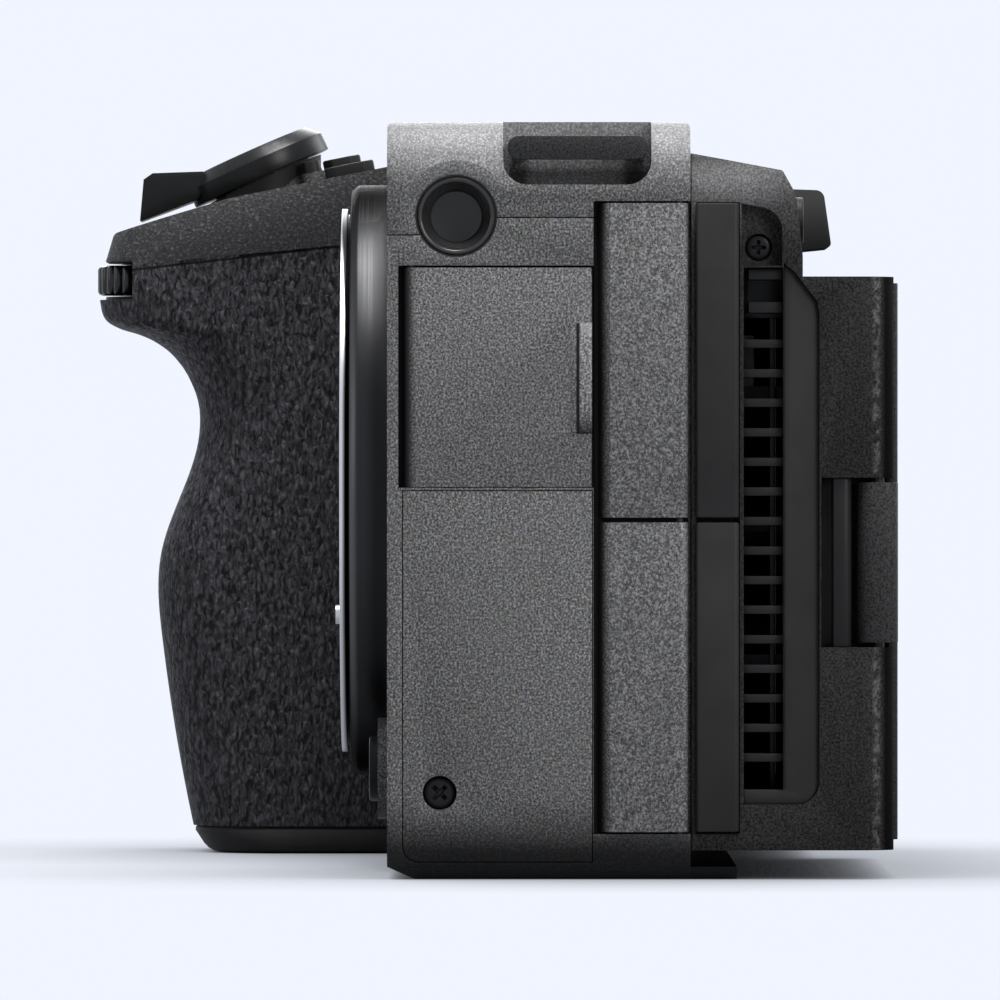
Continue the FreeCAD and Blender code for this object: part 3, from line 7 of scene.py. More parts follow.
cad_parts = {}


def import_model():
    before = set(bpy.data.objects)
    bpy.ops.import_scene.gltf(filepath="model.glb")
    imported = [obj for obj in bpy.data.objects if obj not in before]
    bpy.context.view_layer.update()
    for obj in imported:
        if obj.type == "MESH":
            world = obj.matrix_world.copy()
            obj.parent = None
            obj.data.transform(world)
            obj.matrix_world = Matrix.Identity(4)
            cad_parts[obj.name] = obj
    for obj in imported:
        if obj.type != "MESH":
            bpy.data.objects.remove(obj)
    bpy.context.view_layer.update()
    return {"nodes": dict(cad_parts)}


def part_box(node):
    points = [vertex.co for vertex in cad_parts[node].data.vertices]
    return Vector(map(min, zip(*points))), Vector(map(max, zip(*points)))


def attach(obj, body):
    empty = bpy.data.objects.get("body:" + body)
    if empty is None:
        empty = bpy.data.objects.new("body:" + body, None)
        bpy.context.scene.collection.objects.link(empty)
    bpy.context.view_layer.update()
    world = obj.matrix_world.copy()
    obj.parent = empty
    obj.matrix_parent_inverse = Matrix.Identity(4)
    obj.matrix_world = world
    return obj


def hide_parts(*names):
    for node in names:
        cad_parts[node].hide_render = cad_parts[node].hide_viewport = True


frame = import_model()
MM = 0.001
BACKGROUND = (0.871, 0.913, 1.0, 1.0)


# Places on the camera, in millimetres: +X to the port side, -Y to the front, +Z up


X, Y, Z = 0, 1, 2


def low_of(node, axis):
    """Low side of a CAD node."""
    return round(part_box(node)[0][axis] / MM, 3)


def high_of(node, axis):
    """High side of a CAD node."""
    return round(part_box(node)[1][axis] / MM, 3)


def middle_of(node, axis):
    """Halfway between a CAD node's low and high sides."""
    low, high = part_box(node)
    return round((low[axis] + high[axis]) / 2 / MM, 3)


PORT_FACE_X = high_of("front_cover", X)
GRIP_FACE_X = low_of("grip_shell", X)
GRIP_INNER_X = high_of("grip_shell", X)
GRIP_BACK_Y = high_of("grip_shell", Y)
TOP_FACE_Z = high_of("thread_inserts", Z)
VENT_FRAME_X = high_of("vent_frame", X)
LENS_X, LENS_Z = middle_of("bayonet_ring", X), middle_of("bayonet_ring", Z)
MOUNT_FACE_Y = low_of("bayonet_ring", Y)
DIAL_X, DIAL_Y, DIAL_Z = (middle_of("front_dial", axis) for axis in (X, Y, Z))
SIDE_THREAD_Y, SIDE_THREAD_Z = -2.6, 68.0
TOP_THREADS = ((52.0, -2.6), (-22.0, 0.5), (-22.0, 15.0))
SEAM_Y, SEAM_Z, SEAM_SLOPE = -38.7, 64.2, 0.112
ZOOM_PIVOT = (middle_of("zoom_lever", X), -25.2, 76.1)
ZOOM_LEAN = math.radians(24.0)


# Materials


class Look:
    """A node-based material, built step by step. Lengths in its textures are millimetres."""

    def __init__(self, name, **sockets):
        self.material = bpy.data.materials.new(name)
        self.material.use_nodes = True
        self.tree = self.material.node_tree
        self.shader = self.tree.nodes["Principled BSDF"]
        for key, value in sockets.items():
            self.put(self.shader.inputs[key.replace("_", " ")], value)
        self.spot = None

    def node(self, kind, **values):
        made = self.tree.nodes.new("ShaderNode" + kind)
        for key, value in values.items():
            setattr(made, key, value)
        return made

    def put(self, socket, value):
        """Link another node's output to a socket, or set its plain value."""
        if isinstance(value, bpy.types.NodeSocket):
            self.tree.links.new(value, socket)
        elif socket.type == "RGBA":
            socket.default_value = (*value[:3], 1.0)
        else:
            socket.default_value = value

    def vector(self, operation, a, b=None, scale=None):
        made = self.node("VectorMath", operation=operation)
        for key, value in ((0, a), (1, b), ("Scale", scale)):
            if value is not None:
                self.put(made.inputs[key], value)
        return made.outputs["Value" if operation == "LENGTH" else "Vector"]

    def where(self):
        """Place on the object in millimetres."""
        if self.spot is None:
            coordinates = self.node("TexCoord")
            self.spot = self.vector("SCALE", coordinates.outputs["Object"], scale=1 / MM)
        return self.spot

    def axis(self, name):
        split = self.node("SeparateXYZ")
        self.put(split.inputs[0], self.where())
        return split.outputs[name]

    def stretched(self, factors):
        return self.vector("MULTIPLY", self.where(), factors)

    def noise(self, scale, detail=2.0, roughness=0.5, distortion=0.0, where=None, output=0):
        """Noise texture: output 0 is a single value, output 1 is a colour."""
        made = self.node("TexNoise")
        values = {"Scale": scale, "Detail": detail, "Roughness": roughness, "Distortion": distortion}
        for key, value in values.items():
            self.put(made.inputs[key], value)
        self.put(made.inputs["Vector"], where or self.where())
        return made.outputs[output]

    def ramp(self, factor, *stops):
        made = self.node("ValToRGB")
        elements = made.color_ramp.elements
        while len(elements) < len(stops):
            elements.new(0.5)
        for element, (position, colour) in zip(elements, stops):
            element.position = position
            element.color = (*colour, 1.0)
        self.put(made.inputs[0], factor)
        return made.outputs[0]

    def math(self, operation, a, b=0.0):
        made = self.node("Math", operation=operation)
        for socket, value in zip(made.inputs, (a, b)):
            self.put(socket, value)
        return made.outputs[0]

    def times(self, value, *factors):
        for factor in factors:
            value = self.math("MULTIPLY", value, factor)
        return value

    def above(self, value, limit):
        return self.math("GREATER_THAN", value, limit)

    def below(self, value, limit):
        return self.math("LESS_THAN", value, limit)

    def distance(self, value, middle):
        return self.math("ABSOLUTE", self.math("SUBTRACT", value, middle))

    def between(self, value, low, high, to_low=0.0, to_high=1.0, smooth=False):
        """Value moved from one span to another, and held at its ends."""
        made = self.node("MapRange", interpolation_type="SMOOTHSTEP" if smooth else "LINEAR")
        values = {"Value": value, "From Min": low, "From Max": high, "To Min": to_low, "To Max": to_high}
        for key, number in values.items():
            self.put(made.inputs[key], number)
        return made.outputs[0]

    def mix(self, factor, a, b, blend="MIX"):
        made = self.node("Mix", data_type="RGBA", blend_type=blend)
        for index, value in ((0, factor), (6, a), (7, b)):
            self.put(made.inputs[index], value)
        return made.outputs[2]

    def bump(self, height, depth):
        """Relief of the given depth in millimetres."""
        made = self.node("Bump")
        self.put(made.inputs["Strength"], 1.0)
        self.put(made.inputs["Distance"], depth * MM)
        self.put(made.inputs["Height"], height)
        return made.outputs[0]

    def finish(self, colour=None, roughness=None, normal=None, metallic=None):
        ends = {"Base Color": colour, "Roughness": roughness, "Normal": normal, "Metallic": metallic}
        for key, value in ends.items():
            if value is not None:
                self.put(self.shader.inputs[key], value)
        return self.material


def grey(value, tint=(1.0, 1.0, 1.02)):
    return tuple(value * t for t in tint)


# Black painted as shade: in the gaps round the doors, where rounded edges turn from the light, and beside the
# front door's pull tab.
PAINTED_SHADE_BLACK = grey(0.004)
SEAM_BLACK = grey(0.003)


def wrinkles(look):
    """Coarse grain of wrinkled paint, and the height of its surface with a finer grain added."""
    grain = look.noise(4.3, 2.5, 0.6)
    fine = look.noise(9.0, 1.0, 0.5)
    return grain, look.math("ADD", look.times(grain, 0.72), look.times(fine, 0.28))


def tones(look, height, dark, middle, pale):
    """Grey that follows the paint's grain: darker in its hollows, paler on its tops."""
    return look.ramp(height, (0.37, grey(dark)), (0.5, grey(middle)), (0.63, grey(pale)))


def gap_unshaded_share(look, side_x, depth):
    """Mask of painted shade: 0 inside the gaps round the doors, which are painted black as shade, 1 on the
    outside.
    """
    field = (("Y", -8.8, 21.2), ("Z", 4.4, 69.8))
    face_margin = 0.08
    across = look.axis("X")
    shown = look.between(across, side_x - depth, side_x - face_margin, smooth=True)
    for axis, low, high in field:
        place = look.axis(axis)
        shown = look.math("MAXIMUM", shown, look.below(place, low))
        shown = look.math("MAXIMUM", shown, look.above(place, high))
    return look.math("MAXIMUM", shown, look.below(across, -30.0))


def seam_share(look):
    """0 on the thin seam between the grip's skin and its cap, 1 elsewhere."""
    rise = look.times(look.math("SUBTRACT", look.axis("Y"), SEAM_Y), SEAM_SLOPE)
    above_rise = look.math("SUBTRACT", look.axis("Z"), rise)
    return look.between(look.distance(above_rise, SEAM_Z), 0.06, 0.2)


def casing_painted_light(look, colour, base):
    """Painted shade on the casing's underside, rear foot and strap notch, and a painted highlight on its top
    edge.
    """
    foot_span, top_span = (9.5, 2.4), (69.5, 76.5)
    rear_foot_y = 21.42
    notch_x, notch_y, notch_floor, notch_rim = (50.0, 64.0), (2.8, 17.8), 69.8, (73.4, 72.6)
    across, along, up = look.axis("X"), look.axis("Y"), look.axis("Z")
    # Painted shade under the casing and on its rear foot, a painted highlight on its top edge, and the strap
    # bar's painted shadow in its notch.
    colour = look.mix(look.between(up, *foot_span, 0.0, 0.93, smooth=True), colour, grey(base * 0.03))
    colour = look.mix(look.above(along, rear_foot_y), colour, grey(base * 0.06))
    colour = look.mix(look.between(up, *top_span, 0.0, 0.15, smooth=True), colour, grey(0.5))
    notch = look.times(look.above(across, notch_x[0]), look.below(across, notch_x[1]))
    notch = look.times(notch, look.above(along, notch_y[0]), look.below(along, notch_y[1]))
    notch = look.times(notch, look.above(up, notch_floor), look.between(up, *notch_rim))
    return look.mix(look.times(notch, 0.75), colour, grey(0.01))


def speckled(name, base, fleck, roughness, depth, specular, side_x=None, casing=False):
    """Wrinkled paint with paler and darker grains and a fine relief.

    With side_x, the place of the port face, black is painted as shade in the gaps behind that face,
    and on the grip's side painted shade turns the paint black, with a wrinkle grain. With casing it takes the
    casing's painted shade and highlight.
    """
    look = Look(name, Roughness=roughness, Specular_IOR_Level=specular)
    grain, height = wrinkles(look)
    hues = look.noise(3.6, 1.0, output=1)
    colour = look.mix(0.3, tones(look, height, base * 0.3, base, fleck), hues, "SOFT_LIGHT")
    broad = look.between(look.noise(0.12, 2.0), 0.3, 0.7, 0.0, 0.12)
    colour = look.mix(broad, colour, grey(base * 0.7))
    if casing:
        colour = casing_painted_light(look, colour, base)
    if side_x is not None:
        # Painted shade: black in the gaps behind the port face.
        colour = look.mix(gap_unshaded_share(look, side_x, 1.1), PAINTED_SHADE_BLACK, colour)
        # Painted shade: on the grip's side the paint turns black, with a wrinkle grain of its own.
        painted = look.between(look.axis("X"), -34.0, -32.6)
        wrinkle = look.noise(3.1, 3.0, 0.62, 0.5, where=look.stretched((1.0, 0.85, 1.15)))
        black = look.ramp(wrinkle, (0.38, grey(0.028)), (0.56, grey(0.055)), (0.7, grey(0.15)))
        black = look.mix(seam_share(look), SEAM_BLACK, black)
        colour = look.mix(painted, black, colour)
        height = look.between(painted, 0.0, 1.0, look.times(wrinkle, 4.0), height)
    rough = look.between(grain, 0.3, 0.7, roughness + 0.08, roughness - 0.06)
    return look.finish(colour, rough, look.bump(height, depth))


def front_door_paint(name):
    """Speckled paint of the front jack door, with painted shade where its front side rounds off and beside
    its pull tab, and a painted highlight on the tab's top.
    """
    rounding_span = (-7.75, -6.5)
    tab_side_y, tab_z, tab_foot, tab_head = 9.85, (45.7, 57.0), (45.9, 48.4), (55.4, 56.4)
    look = Look(name, Roughness=0.5, Specular_IOR_Level=0.14)
    grain, height = wrinkles(look)
    colour = tones(look, height, 0.05, 0.165, 0.42)
    along, up = look.axis("Y"), look.axis("Z")
    # Painted highlight on the top of the pull tab.
    head = look.times(look.between(up, *tab_head), look.above(along, tab_side_y + 0.25))
    head = look.times(head, look.below(up, tab_z[1]))
    colour = look.mix(look.times(head, 0.3), colour, grey(0.5))
    # Painted shadow along the side of the pull tab.
    beside = look.between(look.distance(along, tab_side_y), 0.1, 0.28)
    foot = look.between(up, *tab_foot, 0.15, 1.0)
    lit = look.times(beside, look.math("MAXIMUM", foot, look.below(along, tab_side_y - 0.05)))
    level_with_tab = look.times(look.above(up, tab_z[0]), look.below(up, tab_z[1]))
    lit = look.math("MAXIMUM", lit, look.math("SUBTRACT", 1.0, level_with_tab))
    # Painted shade where the door's front side rounds off.
    rounding = look.between(along, *rounding_span, smooth=True)
    colour = look.mix(look.times(rounding, lit), PAINTED_SHADE_BLACK, colour)
    colour = look.mix(gap_unshaded_share(look, 64.9, 1.2), PAINTED_SHADE_BLACK, colour)
    return look.finish(colour, look.between(grain, 0.3, 0.7, 0.58, 0.44), look.bump(height, 0.022))


def rear_paint(name):
    """Dark paint of the rear shell: grey paint on its shoulder that painted shade darkens downwards, a
    painted highlight where its flank turns, and painted shade that makes it black beyond.

    The thumb rest is smooth and black with a painted highlight towards its top, and like the flank's far rim
    it has no gloss.
    """
    gloss = 0.035
    shoulder_x, shoulder_y, shoulder_z = (62.0, 63.6), (27.0, 33.5), (64.0, 71.0)
    port_x, ridge_y, beyond_y = (58.9, 59.15), 40.45, (40.9, 41.4)
    rest_x, rest_y, rest_z = -20.0, 33.2, (62.8, 73.0)
    look = Look(name, Specular_IOR_Level=gloss)
    grain, height = wrinkles(look)
    across, along, up = look.axis("X"), look.axis("Y"), look.axis("Z")
    pale = tones(look, height, 0.065, 0.122, 0.2)
    # Shoulder: the grey of its paint, with painted shade that darkens it downwards, rearwards and inwards.
    shoulder = look.between(up, *shoulder_z, 0.0, 0.9, smooth=True)
    shoulder = look.times(shoulder, look.between(along, *shoulder_y, 1.0, 0.3))
    shoulder = look.times(shoulder, look.between(across, *shoulder_x, 0.12, 1.0))
    colour = look.mix(shoulder, tones(look, height, 0.006, 0.021, 0.04), pale)
    port = look.between(across, *port_x)
    # Painted highlight where the flank turns.
    ridge = look.between(look.distance(along, ridge_y), 0.6, 0.1, smooth=True)
    ridge = look.times(ridge, look.between(look.noise(1.3, 3.0, 0.6), 0.42, 0.6), port, 0.6)
    colour = look.mix(ridge, colour, pale)
    # Painted shade: the flank's far rim turns black.
    beyond = look.times(look.between(along, *beyond_y, 0.0, 0.9), port)
    colour = look.mix(beyond, colour, grey(0.003))
    rest = look.times(look.below(across, rest_x), look.above(along, rest_y), look.above(up, rest_z[0]))
    # Thumb rest: smooth black, with a painted highlight that grows towards its top.
    rest_black_and_highlight = look.ramp(look.between(up, *rest_z), (0.1, grey(0.005)), (0.9, grey(0.045)))
    colour = look.mix(rest, colour, rest_black_and_highlight)
    glossy = look.math("SUBTRACT", 1.0, look.math("MAXIMUM", beyond, rest))
    look.put(look.shader.inputs["Specular IOR Level"], look.times(glossy, gloss))
    return look.finish(colour, look.between(grain, 0.3, 0.7, 0.58, 0.44), look.bump(height, 0.03))


def leather(name):
    """Black moulded leather grain: small upright pebbles with creases between them."""
    look = Look(name, Roughness=0.5, Specular_IOR_Level=0.1)
    drift = look.vector("SCALE", look.noise(1.0, 2.0, output=1), scale=1.1)
    place = look.vector("ADD", look.stretched((2.0, 2.0, 0.85)), drift)
    cells = look.node("TexVoronoi", feature="DISTANCE_TO_EDGE")
    look.put(cells.inputs["Scale"], 1.0)
    look.put(cells.inputs["Vector"], place)
    pebble = look.between(cells.outputs[0], 0.0, 0.42, smooth=True)
    crinkle = look.noise(0.95, 3.0, 0.6, 0.25, where=place)
    height = look.math("ADD", look.times(pebble, 0.2), look.times(crinkle, 1.15))
    violet = (1, 0.97, 1.1)
    colour = look.ramp(height, (0.46, grey(0.007)), (0.68, grey(0.05, violet)), (0.92, grey(0.11, violet)))
    colour = look.mix(seam_share(look), SEAM_BLACK, colour)
    return look.finish(colour, look.between(height, 0.3, 0.9, 0.66, 0.46), look.bump(height, 0.3))


def moulded(name, base, roughness, relief=0.006, specular=0.3):
    """Smooth moulded plastic or even paint, with the faint texture of the mould."""
    look = Look(name, Roughness=roughness, Specular_IOR_Level=specular)
    broad = look.noise(0.25, 3.0)
    colour = look.ramp(broad, (0.3, grey(base * 0.88)), (0.7, grey(base * 1.1)))
    rough = look.between(broad, 0.3, 0.7, roughness - 0.04, roughness + 0.06)
    return look.finish(colour, rough, look.bump(look.noise(7.0, 2.0), relief))


def turned(name, base, roughness, shade, relief=0.004, edge=1.0):
    """Metal turned about the lens axis: fine rings and slight stains, then the painted light and shade that
    the shade function gives.
    """
    look = Look(name, Metallic=1.0, Specular_Tint=(edge, edge, edge))
    spoke = look.vector("SUBTRACT", look.where(), (LENS_X, 0.0, LENS_Z))
    radius = look.vector("LENGTH", look.vector("MULTIPLY", spoke, (1.0, 0.0, 1.0)))
    track = look.node("CombineXYZ")
    look.put(track.inputs[0], radius)
    look.put(track.inputs[1], look.times(look.axis("Y"), 0.7))
    rings = look.noise(9.0, 2.0, where=track.outputs[0])
    colour = look.ramp(look.noise(0.3, 3.0), (0.3, grey(base * 0.92)), (0.7, grey(base)))
    rough = look.between(rings, 0.3, 0.7, roughness - 0.05, roughness + 0.08)
    return look.finish(shade(look, colour, radius), rough, look.bump(rings, relief))


def collar_painted_light(look, colour, radius):
    """Collar: painted light makes it paler at its front rounding and towards the body."""
    front_y, back_y = (-13.7, -12.9), (-11.2, -9.8)
    front = look.between(look.axis("Y"), *front_y, 3.0, 1.0, smooth=True)
    back = look.between(look.axis("Y"), *back_y, 1.0, 2.2, smooth=True)
    return look.vector("SCALE", colour, scale=look.times(front, back))


def flange_painted_shade(look, colour, radius):
    """Bayonet ring: painted shade makes its wide flange black behind a bright front edge, thinner at the top.
    """
    black_y, fade, claw_reach, taper_z = -14.65, 0.35, 28.0, (58.0, 70.0)
    taper = look.between(look.axis("Z"), *taper_z, 0.0, 0.5)
    behind = look.between(look.math("ADD", look.axis("Y"), taper), black_y, black_y + fade)
    return look.mix(look.times(behind, look.above(radius, claw_reach)), colour, grey(0.003))


def metal(name, base, roughness, relief=0.005, scale=5.0, metallic=1.0):
    """Plain metal with faint stains and a fine relief."""
    look = Look(name, Metallic=metallic)
    tint = (1, 1, 1.01)
    fine = look.noise(scale, 3.0)
    colour = look.ramp(look.noise(0.4, 3.0), (0.3, grey(base * 0.88, tint)), (0.7, grey(base, tint)))
    rough = look.between(fine, 0.3, 0.7, roughness - 0.05, roughness + 0.08)
    return look.finish(colour, rough, look.bump(fine, relief))


def contacts(name):
    """Black block whose pins, standing out in front, are gold."""
    pin_y = (-12.66, -12.74)
    look = Look(name, Roughness=0.4)
    pin = look.between(look.axis("Y"), *pin_y)
    fine = look.noise(6.0, 2.0)
    black = look.ramp(fine, (0.3, grey(0.01)), (0.7, grey(0.02)))
    colour = look.mix(pin, black, (0.83, 0.58, 0.22))
    return look.finish(colour, look.between(pin, 0, 1, 0.5, 0.25), look.bump(fine, 0.004), pin)


def board(name):
    """Green circuit board with paler tracks."""
    look = Look(name, Roughness=0.45)
    tracks = look.noise(1.2, 1.0, where=look.stretched((1.0, 0.1, 0.1)))
    green, track = (0.006, 0.06, 0.02), (0.02, 0.16, 0.06)
    colour = look.ramp(tracks, (0.46, green), (0.5, track), (0.54, green))
    return look.finish(colour, None, look.bump(tracks, 0.02))


def glass(name):
    """Clear glass with a little dust."""
    look = Look(name, Roughness=0.02, IOR=1.5, Transmission_Weight=1.0)
    dust = look.noise(0.8, 4.0)
    tint = look.ramp(dust, (0.3, (0.93, 0.97, 0.98)), (0.7, (0.97, 0.99, 1.0)))
    return look.finish(tint, look.between(dust, 0.3, 0.8, 0.0, 0.03))


def sensor(name):
    """Sensor face with a violet and green sheen."""
    look = Look(name, Roughness=0.2, Specular_IOR_Level=0.8, Coat_Weight=0.6, Coat_Roughness=0.05)
    sheen = look.noise(0.06, 1.0, distortion=0.4)
    teal, violet, green = (0.02, 0.06, 0.07), (0.06, 0.03, 0.09), (0.03, 0.08, 0.05)
    colour = look.ramp(sheen, (0.35, teal), (0.5, violet), (0.65, green))
    return look.finish(colour, None, look.bump(look.noise(8.0, 1.0), 0.001))


def screen(name):
    """Dark screen glass with a slight haze."""
    look = Look(name, Specular_IOR_Level=0.6, Coat_Weight=0.5, Coat_Roughness=0.03)
    haze = look.noise(0.05, 4.0)
    colour = look.ramp(haze, (0.3, (0.004, 0.005, 0.007)), (0.7, (0.008, 0.009, 0.012)))
    return look.finish(colour, look.between(haze, 0.3, 0.7, 0.06, 0.14))


def signal(name, colour):
    """Slightly cloudy coloured plastic under a clear coat."""
    look = Look(name, Roughness=0.3, Coat_Weight=0.3)
    cloud = look.noise(1.5, 2.0)
    deep = tuple(c * 0.6 for c in colour)
    return look.finish(look.ramp(cloud, (0.3, deep), (0.7, colour)), None, look.bump(cloud, 0.01))


casing_paint = speckled("speckled_paint_look", 0.093, 0.255, 0.5, 0.022, 0.14, PORT_FACE_X, casing=True)
looks = {
    "speckled_paint": casing_paint,
    "dark_paint": rear_paint("dark_paint_look"),
    "grip_leather": leather("grip_leather_look"),
    "smooth_grey": moulded("smooth_grey_look", 0.026, 0.5, specular=0.08),
    "black_plastic": moulded("black_plastic_look", 0.014, 0.42, specular=0.1),
    "satin_black": turned("satin_black_look", 0.031, 0.36, collar_painted_light, relief=0.0003, edge=0.15),
    "bright_steel": turned("bright_steel_look", 0.6, 0.3, flange_painted_shade),
    "steel": metal("steel_look", 0.55, 0.33),
    "black_steel": metal("black_steel_look", 0.03, 0.42, metallic=0.7),
    "gold_contacts": contacts("gold_contacts_look"),
    "cast_alloy": metal("cast_alloy_look", 0.42, 0.55, relief=0.02, scale=3.0),
    "board_green": board("board_green_look"),
    "optic_glass": glass("optic_glass_look"),
    "sensor_face": sensor("sensor_face_look"),
    "screen_glass": screen("screen_glass_look"),
    "red_lamp": signal("red_lamp_look", (0.35, 0.01, 0.008)),
    "red_button": signal("red_button_look", (0.4, 0.012, 0.01)),
}
door_paint = speckled("door_paint_look", 0.117, 0.3, 0.5, 0.022, 0.14, side_x=64.85)
oxide_look = moulded("black_oxide_look", 0.009, 0.34, specular=0.15)
dial_look = moulded("dial_look", 0.005, 0.2, 0.002, specular=0.35)
bush_look = moulded("bush_look", 0.022, 0.22, 0.003, specular=0.36)
band_look = moulded("grip_band_look", 0.034, 0.5, specular=0.08)
fin_look = metal("fin_look", 0.055, 0.25)
pin_look = metal("blackened_pin_look", 0.02, 0.45, metallic=0.6)
node_looks = {
    "accessory_shoe": metal("shoe_look", 0.2, 0.38),
    "audio_door": front_door_paint("front_door_look"),
    "monitor_hinge_block": speckled("hinge_block_look", 0.034, 0.056, 0.5, 0.03, 0.05),
    "zoom_lever": moulded("zoom_ring_look", 0.009, 0.3, 0.003, specular=0.14),
    "upper_data_door": door_paint,
    "lower_data_door": door_paint,
    "strap_bars": speckled("strap_bar_look", 0.03, 0.05, 0.45, 0.01, 0.1),
    "vent_grille": moulded("vent_rib_look", 0.013, 0.36, specular=0.15),
    "hinge_pins": pin_look,
    "monitor_hinge_pin": pin_look,
}


# Soft edges on the CAD nodes


def shading_group():
    """Geometry nodes that merge split points and shade smoothly except at sharp edges."""
    group = bpy.data.node_groups.new("edge_shading", "GeometryNodeTree")
    group.interface.new_socket("Geometry", in_out="INPUT", socket_type="NodeSocketGeometry")
    group.interface.new_socket("Angle", in_out="INPUT", socket_type="NodeSocketFloat")
    group.interface.new_socket("Geometry", in_out="OUTPUT", socket_type="NodeSocketGeometry")
    nodes, links = group.nodes, group.links
    start, end = nodes.new("NodeGroupInput"), nodes.new("NodeGroupOutput")
    merge = nodes.new("GeometryNodeMergeByDistance")
    merge.inputs["Distance"].default_value = 1e-6
    angle = nodes.new("GeometryNodeInputMeshEdgeAngle")
    sharp = nodes.new("FunctionNodeCompare")
    sharp.data_type, sharp.operation = "FLOAT", "GREATER_THAN"
    normal = nodes.new("GeometryNodeSetMeshNormal")
    normal.mode = "SHARPNESS"
    normal.inputs["Remove Custom"].default_value = True
    normal.inputs["Face Sharpness"].default_value = False
    links.new(start.outputs[0], merge.inputs["Geometry"])
    links.new(merge.outputs[0], normal.inputs["Mesh"])
    links.new(angle.outputs[0], sharp.inputs[0])
    links.new(start.outputs["Angle"], sharp.inputs[1])
    links.new(sharp.outputs[0], normal.inputs["Edge Sharpness"])
    links.new(normal.outputs[0], end.inputs[0])
    return group


edge_shading = shading_group()


def shade(obj, degrees=32.0):
    """Shade a piece smoothly, apart from edges sharper than an angle."""
    modifier = obj.modifiers.new("shading", "NODES")
    modifier.node_group = edge_shading
    modifier[edge_shading.interface.items_tree["Angle"].identifier] = math.radians(degrees)


def soften(obj, width):
    """Weld, merge flat faces and round the edges a little."""
    weld = obj.modifiers.new("weld", "WELD")
    weld.merge_threshold = 2e-6
    flat = obj.modifiers.new("flat", "DECIMATE")
    flat.decimate_type = "DISSOLVE"
    flat.angle_limit = math.radians(0.6)
    bevel = obj.modifiers.new("edges", "BEVEL")
    bevel.width = width * MM
    bevel.segments = 2
    bevel.limit_method = "ANGLE"
    bevel.angle_limit = math.radians(35.0)
    bevel.use_clamp_overlap = True
    bevel.miter_outer = "MITER_ARC"
    shade(obj, 40.0)


SOFT_EDGES = {
    0.1: ("rear_dial", "accessory_shoe"),
    0.12: ("bayonet_ring",),
    0.15: ("control_wheel", "joystick", "menu_button", "play_button", "function_button", "centre_button"),
    0.2: (
        *("door_strips", "base_plate", "monitor_hinge_base", "monitor_hinge_block", "mount_collar"),
        *("vent_grille", "battery_door", "power_switch"),
        *("record_button", "iso_button", "iris_button", "balance_button"),
    ),
    0.22: ("side_panel", "vent_frame"),
    0.25: (
        *("front_cover", "top_cover", "rear_cover", "strap_bars", "lens_release_button"),
        *("audio_door", "upper_data_door", "lower_data_door", "card_door"),
    ),
    0.35: ("monitor_shell",),
    0.42: ("zoom_lever",),
}
soft_width = {name: width for width, names in SOFT_EDGES.items() for name in names}
for name, obj in frame["nodes"].items():
    for place in obj.material_slots:
        place.material = node_looks.get(name) or looks[place.material.name.split(".")[0]]
    if name in soft_width:
        soften(obj, soft_width[name])
    else:
        shade(obj)


# Mesh tools, in millimetres


def mesh_piece(name, bm, look, body, smooth=True):
    """Turn a mesh into a visible piece that rides a body."""
    for face in bm.faces:
        face.smooth = smooth
    obj = plain_object(name, bm)
    obj.data.materials.append(look)
    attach(obj, body)
    return obj


def plain_object(name, bm):
    mesh = bpy.data.meshes.new(name)
    bm.to_mesh(mesh)
    bm.free()
    obj = bpy.data.objects.new(name, mesh)
    bpy.context.scene.collection.objects.link(obj)
    return obj


def outward(bm):
    bmesh.ops.recalc_face_normals(bm, faces=bm.faces[:])


def loft(bm, rings):
    """Closed form through rings that have the same number of points."""
    rows = [[bm.verts.new(Vector(p) * MM) for p in ring] for ring in rings]
    count = len(rows[0])
    for low, high in zip(rows, rows[1:]):
        for i in range(count):
            j = (i + 1) % count
            bm.faces.new((low[i], low[j], high[j], high[i]))
    bm.faces.new(list(reversed(rows[0])))
    bm.faces.new(rows[-1])
    outward(bm)


def square_axes(direction):
    """A direction as a unit vector, and two more at right angles to it."""
    way = Vector(direction).normalized()
    side = way.orthogonal().normalized()
    return way, side, way.cross(side)


def revolve(bm, profile, centre, direction, count=72):
    """Turn (radius, depth) points about a line; depth runs along the direction."""
    way, side, other = square_axes(direction)
    rings = []
    for radius, depth in profile:
        middle = Vector(centre) + way * depth
        if radius == 0.0:
            rings.append([bm.verts.new(middle * MM)])
            continue
        ring = []
        for k in range(count):
            angle = 2 * math.pi * k / count
            spoke = side * math.cos(angle) + other * math.sin(angle)
            ring.append(bm.verts.new((middle + spoke * radius) * MM))
        rings.append(ring)
    for low, high in zip(rings, rings[1:]):
        for k in range(count):
            j = (k + 1) % count
            corners = [low[k % len(low)], low[j % len(low)], high[j % len(high)], high[k % len(high)]]
            bm.faces.new(list(dict.fromkeys(corners)))


def box(low, high):
    """Box between two corners."""
    bm = bmesh.new()
    bmesh.ops.create_cube(bm, size=1.0)
    size = Vector(high) - Vector(low)
    middle = (Vector(high) + Vector(low)) / 2
    for v in bm.verts:
        v.co = (Vector((v.co.x * size.x, v.co.y * size.y, v.co.z * size.z)) + middle) * MM
    return bm


def rod(centre, axis, radius, length):
    """Round rod about its own middle."""
    bm = bmesh.new()
    ends = {"radius1": radius * MM, "radius2": radius * MM}
    bmesh.ops.create_cone(bm, cap_ends=True, segments=64, depth=length * MM, **ends)
    turn = Vector((0, 0, 1)).rotation_difference(Vector(axis)).to_matrix().to_4x4()
    bm.transform(Matrix.Translation(Vector(centre) * MM) @ turn)
    return bm


